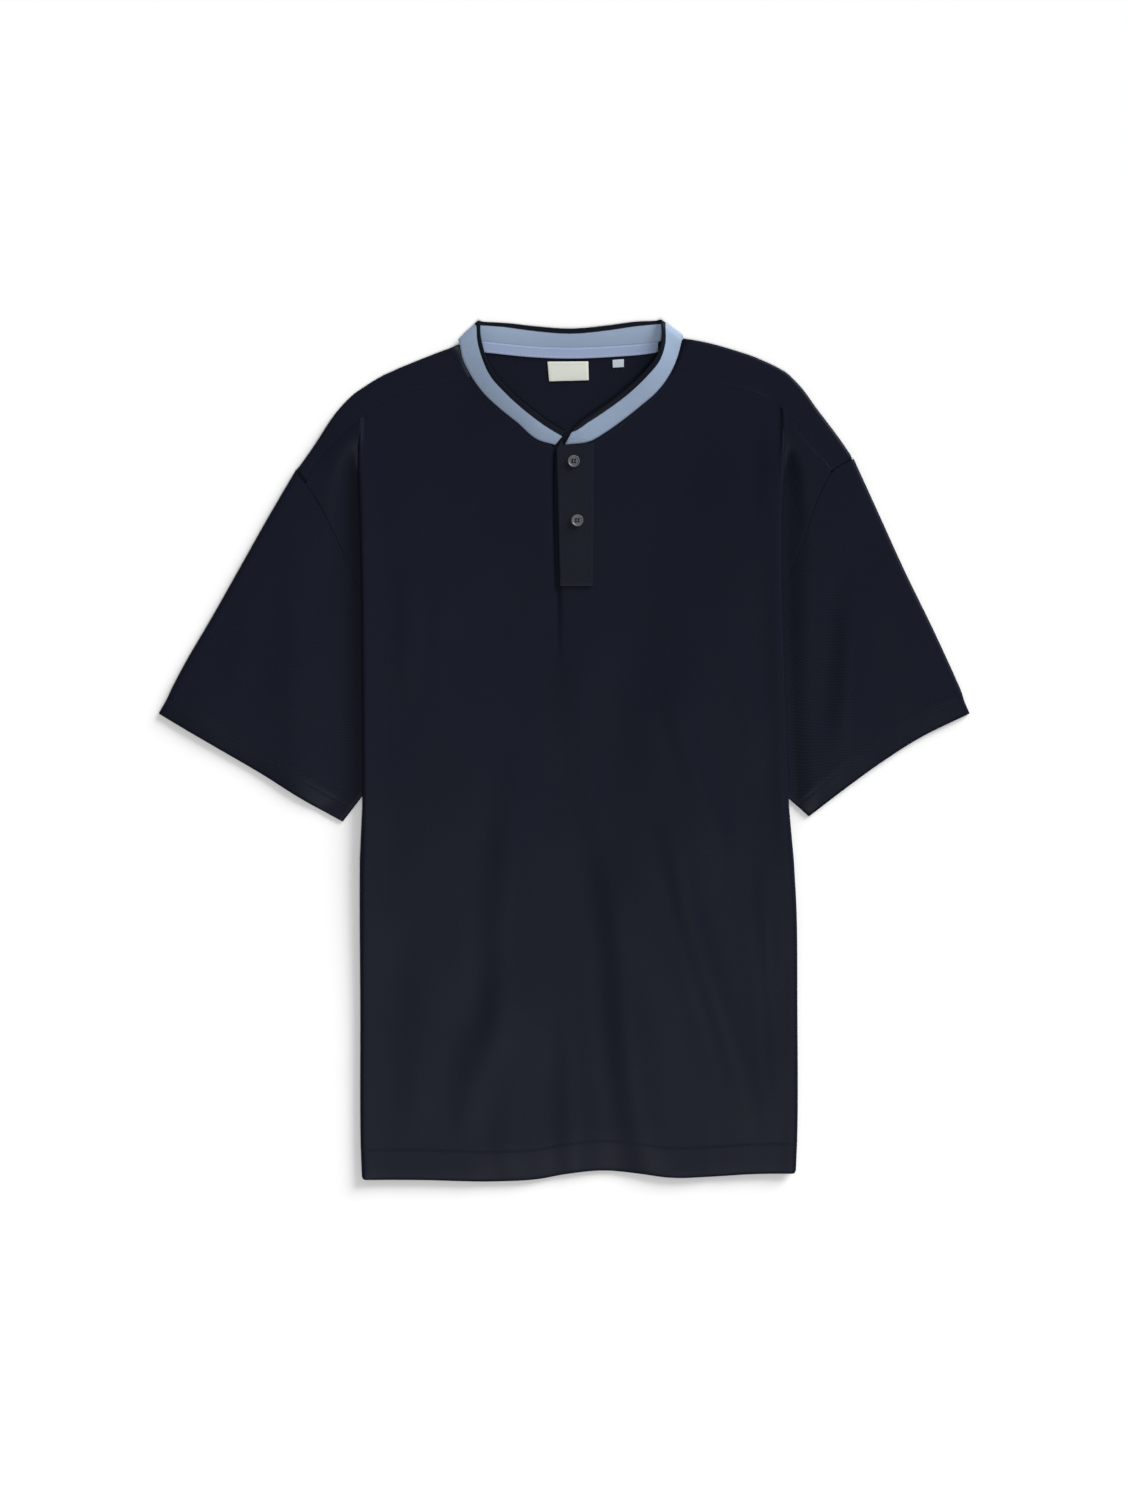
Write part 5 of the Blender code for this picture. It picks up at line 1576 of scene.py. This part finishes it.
BUTTON_RIM = 0.95
BUTTON_WELL = 0.5      # depth
BUTTON_WELL_WALL = 0.55
BUTTON_FACE = 0.5      # flat ring between the well's wall and its middle
BUTTON_BACK = (1.1, 0.25)         # width and height of the ring on its back
BUTTON_MARGIN = 0.15   # left free above and below it
BUTTON_HOLE = 0.95
BUTTON_HOLE_CIRCLE = 1.8
STRAND = (0.24, 0.28)  # half width and half height of a strand of thread
STRAND_PAST = 0.25     # it reaches this far past the middle of a hole
STRAND_UP = 0.2
SHANK_RADIUS = 2.2
SHANK_GAP = 0.3        # it is this much shorter than the way from the placket to the well
SHANK_DOWN = 0.35      # and its middle lies this much lower
SHANK_EDGE = (0.5, 0.12)
BUTTONHOLE = (1.6, 12.6)          # width between its two rows of stitches, and their length
BUTTONHOLE_PITCH = 1.5
BUTTONHOLE_SUNK = 0.02


def select_faces(obj, chosen):
    """Edit mode, with the faces selected that the test picks."""
    activate(obj)
    bpy.ops.object.mode_set(mode="EDIT")
    bpy.ops.mesh.select_mode(type="FACE")
    bpy.ops.mesh.select_all(action="DESELECT")
    bpy.ops.object.mode_set(mode="OBJECT")
    for face in obj.data.polygons:
        face.select = chosen(face)
    bpy.ops.object.mode_set(mode="EDIT")


def add_cylinder(vertices, radius, depth, place):
    """A standing cylinder with its middle at a place; it alone is selected."""
    deselect()
    bpy.ops.mesh.primitive_cylinder_add(vertices=vertices, radius=radius * MM, depth=depth * MM,
                                        location=Vector(place) * MM)
    bpy.ops.object.transform_apply(location=True, rotation=True, scale=True)
    return bpy.context.object


def adopt(obj, name, material):
    """Make an object that was modelled by hand a piece of the shirt, its place in its mesh."""
    activate(obj)
    bpy.ops.object.transform_apply(location=True, rotation=True, scale=True)
    bpy.ops.object.shade_smooth_by_angle(angle=math.radians(35))
    obj.name = obj.data.name = name
    obj.data.materials.clear()
    obj.data.materials.append(MATERIALS[material])
    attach(obj, "root")
    return obj


def make_button(name, node, x, y):
    """Four-hole button with a raised rim and a sunk well; gives its holes and how high the well's floor is."""
    low = body_top(x, y) + 2 * LAYER_GAP + PLACKET_CLOTH
    height = BUTTON_HEIGHT - 2 * BUTTON_MARGIN
    button = add_cylinder(56, BUTTON_RADIUS, height, (x, y, low + height / 2 + BUTTON_MARGIN))
    select_faces(button, lambda face: face.normal.z > 0.9)
    for width, depth in ((BUTTON_RIM, 0), (BUTTON_WELL_WALL, -BUTTON_WELL), (BUTTON_FACE, 0)):
        bpy.ops.mesh.inset(thickness=width * MM, depth=depth * MM)
    bpy.ops.object.mode_set(mode="OBJECT")
    select_faces(button, lambda face: face.normal.z < -0.9)
    bpy.ops.mesh.inset(thickness=BUTTON_BACK[0] * MM, depth=BUTTON_BACK[1] * MM)
    bpy.ops.object.mode_set(mode="OBJECT")
    soften(button, 0.34, 3, 28)
    apply_modifiers(button)
    holes = []
    for k in range(4):
        a = math.pi / 4 + k * math.pi / 2
        spot = (x + BUTTON_HOLE_CIRCLE * math.cos(a), y + BUTTON_HOLE_CIRCLE * math.sin(a))
        holes.append(spot)
        drill = add_cylinder(14, BUTTON_HOLE, 3 * BUTTON_HEIGHT, (*spot, low + height / 2))
        cut = button.modifiers.new("hole", "BOOLEAN")
        cut.operation = "DIFFERENCE"
        cut.solver = "EXACT"
        cut.object = drill
        apply_modifiers(button)
        bpy.data.objects.remove(drill)
    adopt(button, name, "button")
    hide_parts(node)
    return holes, low + BUTTON_MARGIN + height - BUTTON_WELL


def make_button_thread(name, holes, top, low):
    """Thread from hole to hole over the button, and the shank beneath it."""
    width, height = STRAND
    parts = []
    for a, b in ((holes[0], holes[3]), (holes[1], holes[2])):
        for shift in (-width, width):
            deselect()
            bpy.ops.mesh.primitive_uv_sphere_add(segments=10, ring_count=8, radius=1)
            strand = bpy.context.object
            strand.scale = Vector((width, math.dist(a, b) / 2 + STRAND_PAST, height)) * MM
            strand.location = Vector(((a[0] + b[0]) / 2 + shift, (a[1] + b[1]) / 2, top + STRAND_UP)) * MM
            bpy.ops.object.transform_apply(location=True, rotation=True, scale=True)
            parts.append(strand)
    centre = [sum(values) / 4 for values in zip(*holes)]
    shank = add_cylinder(16, SHANK_RADIUS, top - low - SHANK_GAP, (*centre, (top + low) / 2 - SHANK_DOWN))
    select_faces(shank, lambda face: abs(face.normal.z) > 0.9)
    bpy.ops.mesh.inset(thickness=SHANK_EDGE[0] * MM, depth=SHANK_EDGE[1] * MM, use_individual=True)
    bpy.ops.object.mode_set(mode="OBJECT")
    deselect()
    for part in (*parts, shank):
        part.select_set(True)
    bpy.context.view_layer.objects.active = shank
    bpy.ops.object.join()
    return adopt(shank, name, "dark_thread")


def make_buttonhole(name, x, y):
    """Close stitches along both sides of the buttonhole under a button."""
    half_width, half_length = (size / 2 for size in BUTTONHOLE)
    ys = subdivided((y - half_length, y + half_length), 1.0)
    above = PLACKET_CLOTH / 2 - BUTTONHOLE_SUNK
    lines = [[(x + shift, up, placket_height(x, up) + above, 0, 0, 1) for up in ys]
             for shift in (-half_width, half_width)]
    return sew_line(name, lines, material="dark_thread", pitch=BUTTONHOLE_PITCH)


# ---------------------------------------------------------------------------------------------------------
# Build the shirt

front, front_hem = make_front()
back, back_hem = make_back()
sleeve_right, right_cuff = make_sleeve("sleeve_right_pique", "sleeve_right", -1)
sleeve_left, left_cuff = make_sleeve("sleeve_left_pique", "sleeve_left", 1)
band = make_band()
tape, tape_lines = make_tape()
neck_label, label_line = make_label("neck_label_woven", "neck_label", LABEL, "label", 0.25)
size_label, _ = make_label("size_label_woven", "size_label", SIZE_LABEL, "size_label", 0.1)
placket, placket_lines = make_placket()

# The neck's stitches run beside the band, on the two sides of the placket up to the shoulder seams
NECK_LINE = 3.0        # from the front's neckline
NECK_LINE_TOP = 352
NECK_RIGHT_END, NECK_LEFT_END = -10, 33
neck_line = [p for p in moved_out(FRONT_NECK, NECK_LINE) if p[1] < NECK_LINE_TOP]
neck_lines = ([p for p in neck_line if p[0] < NECK_RIGHT_END], [p for p in neck_line if p[0] > NECK_LEFT_END])
hem_stitches = sew_line("hem_stitches", [front_hem, back_hem])
cuff_stitches = [sew_line("cuff_stitches_right", [right_cuff]), sew_line("cuff_stitches_left", [left_cuff])]
neck_stitches = sew_line("neck_stitches", [surface_line(line, front_surface) for line in neck_lines])
placket_stitches = sew_line("placket_stitches", placket_lines)
tape_stitches = sew_line("tape_stitches", tape_lines, material="pale_thread")
label_stitches = sew_line("label_stitches", [label_line], material="pale_thread")

for node, button_x, button_y in BUTTONS:
    placket_face = body_top(button_x, button_y) + LAYER_GAP + PLACKET_CLOTH
    button_holes, well_floor = make_button(f"{node}_turned", node, button_x, button_y)
    make_button_thread(f"{node}_thread", button_holes, well_floor, placket_face)
    make_buttonhole(f"{node}_hole_stitches", button_x, button_y)


# ---------------------------------------------------------------------------------------------------------
# Floor, light and camera

FLOOR_SIZE = 8.0               # here and below in metres
FLOOR_WHITE = 0.83
KEY_POWER = 4.9
KEY_ANGLE = 36                 # its width in the sky, in degrees: the larger, the softer its shadows
KEY_TURN = (70, 0, 135)        # it shines low, from the upper right of the picture
HEM_LAMP = (0.2, -2.1, 6.0)
HEM_LAMP_SIZE, HEM_LAMP_POWER = 1.3, 146
ROOM_LIGHT = 0.38
CAMERA_HEIGHT = 3.0
SENSOR = 36.0                  # in millimetres
FRAME_HEIGHT = 1.4355          # how much of the floor the picture shows, top to bottom


def make_floor():
    deselect()
    bpy.ops.mesh.primitive_plane_add(size=FLOOR_SIZE)
    floor = bpy.context.object
    floor.name = "floor"
    material, _, shader = new_material("white_floor", roughness=1.0, specular=0.0, gloss=0)
    shader.inputs["Base Color"].default_value = (FLOOR_WHITE, FLOOR_WHITE, FLOOR_WHITE, 1)
    floor.data.materials.append(material)


def link_new(name, data):
    made = bpy.data.objects.new(name, data)
    bpy.context.scene.collection.objects.link(made)
    return made


def make_key_light():
    """A broad soft sun."""
    sun = bpy.data.lights.new("key", "SUN")
    sun.energy = KEY_POWER
    sun.angle = math.radians(KEY_ANGLE)
    link_new("key", sun).rotation_euler = [math.radians(turn) for turn in KEY_TURN]


def make_hem_light():
    """A lamp high up on the hem's side."""
    lamp = bpy.data.lights.new("hem side", "AREA")
    lamp.size = HEM_LAMP_SIZE
    lamp.energy = HEM_LAMP_POWER
    light = link_new("hem side", lamp)
    light.location = HEM_LAMP
    light.rotation_euler = (-Vector(HEM_LAMP)).to_track_quat("-Z", "Y").to_euler()


def make_room_light():
    world = bpy.data.worlds.new("soft white room")
    world.use_nodes = True
    background = world.node_tree.nodes["Background"]
    background.inputs["Color"].default_value = (1, 1, 1, 1)
    background.inputs["Strength"].default_value = ROOM_LIGHT
    bpy.context.scene.world = world


def make_camera():
    """A camera that looks straight down on the shirt's middle."""
    lens = bpy.data.cameras.new("camera")
    lens.sensor_fit = "VERTICAL"
    lens.sensor_height = SENSOR
    lens.lens = SENSOR * CAMERA_HEIGHT / FRAME_HEIGHT
    camera = link_new("camera", lens)
    camera.location = (0, 0, CAMERA_HEIGHT)
    bpy.context.scene.camera = camera


make_floor()
make_key_light()
make_hem_light()
make_room_light()
make_camera()
bpy.context.scene.view_settings.view_transform = "Standard"
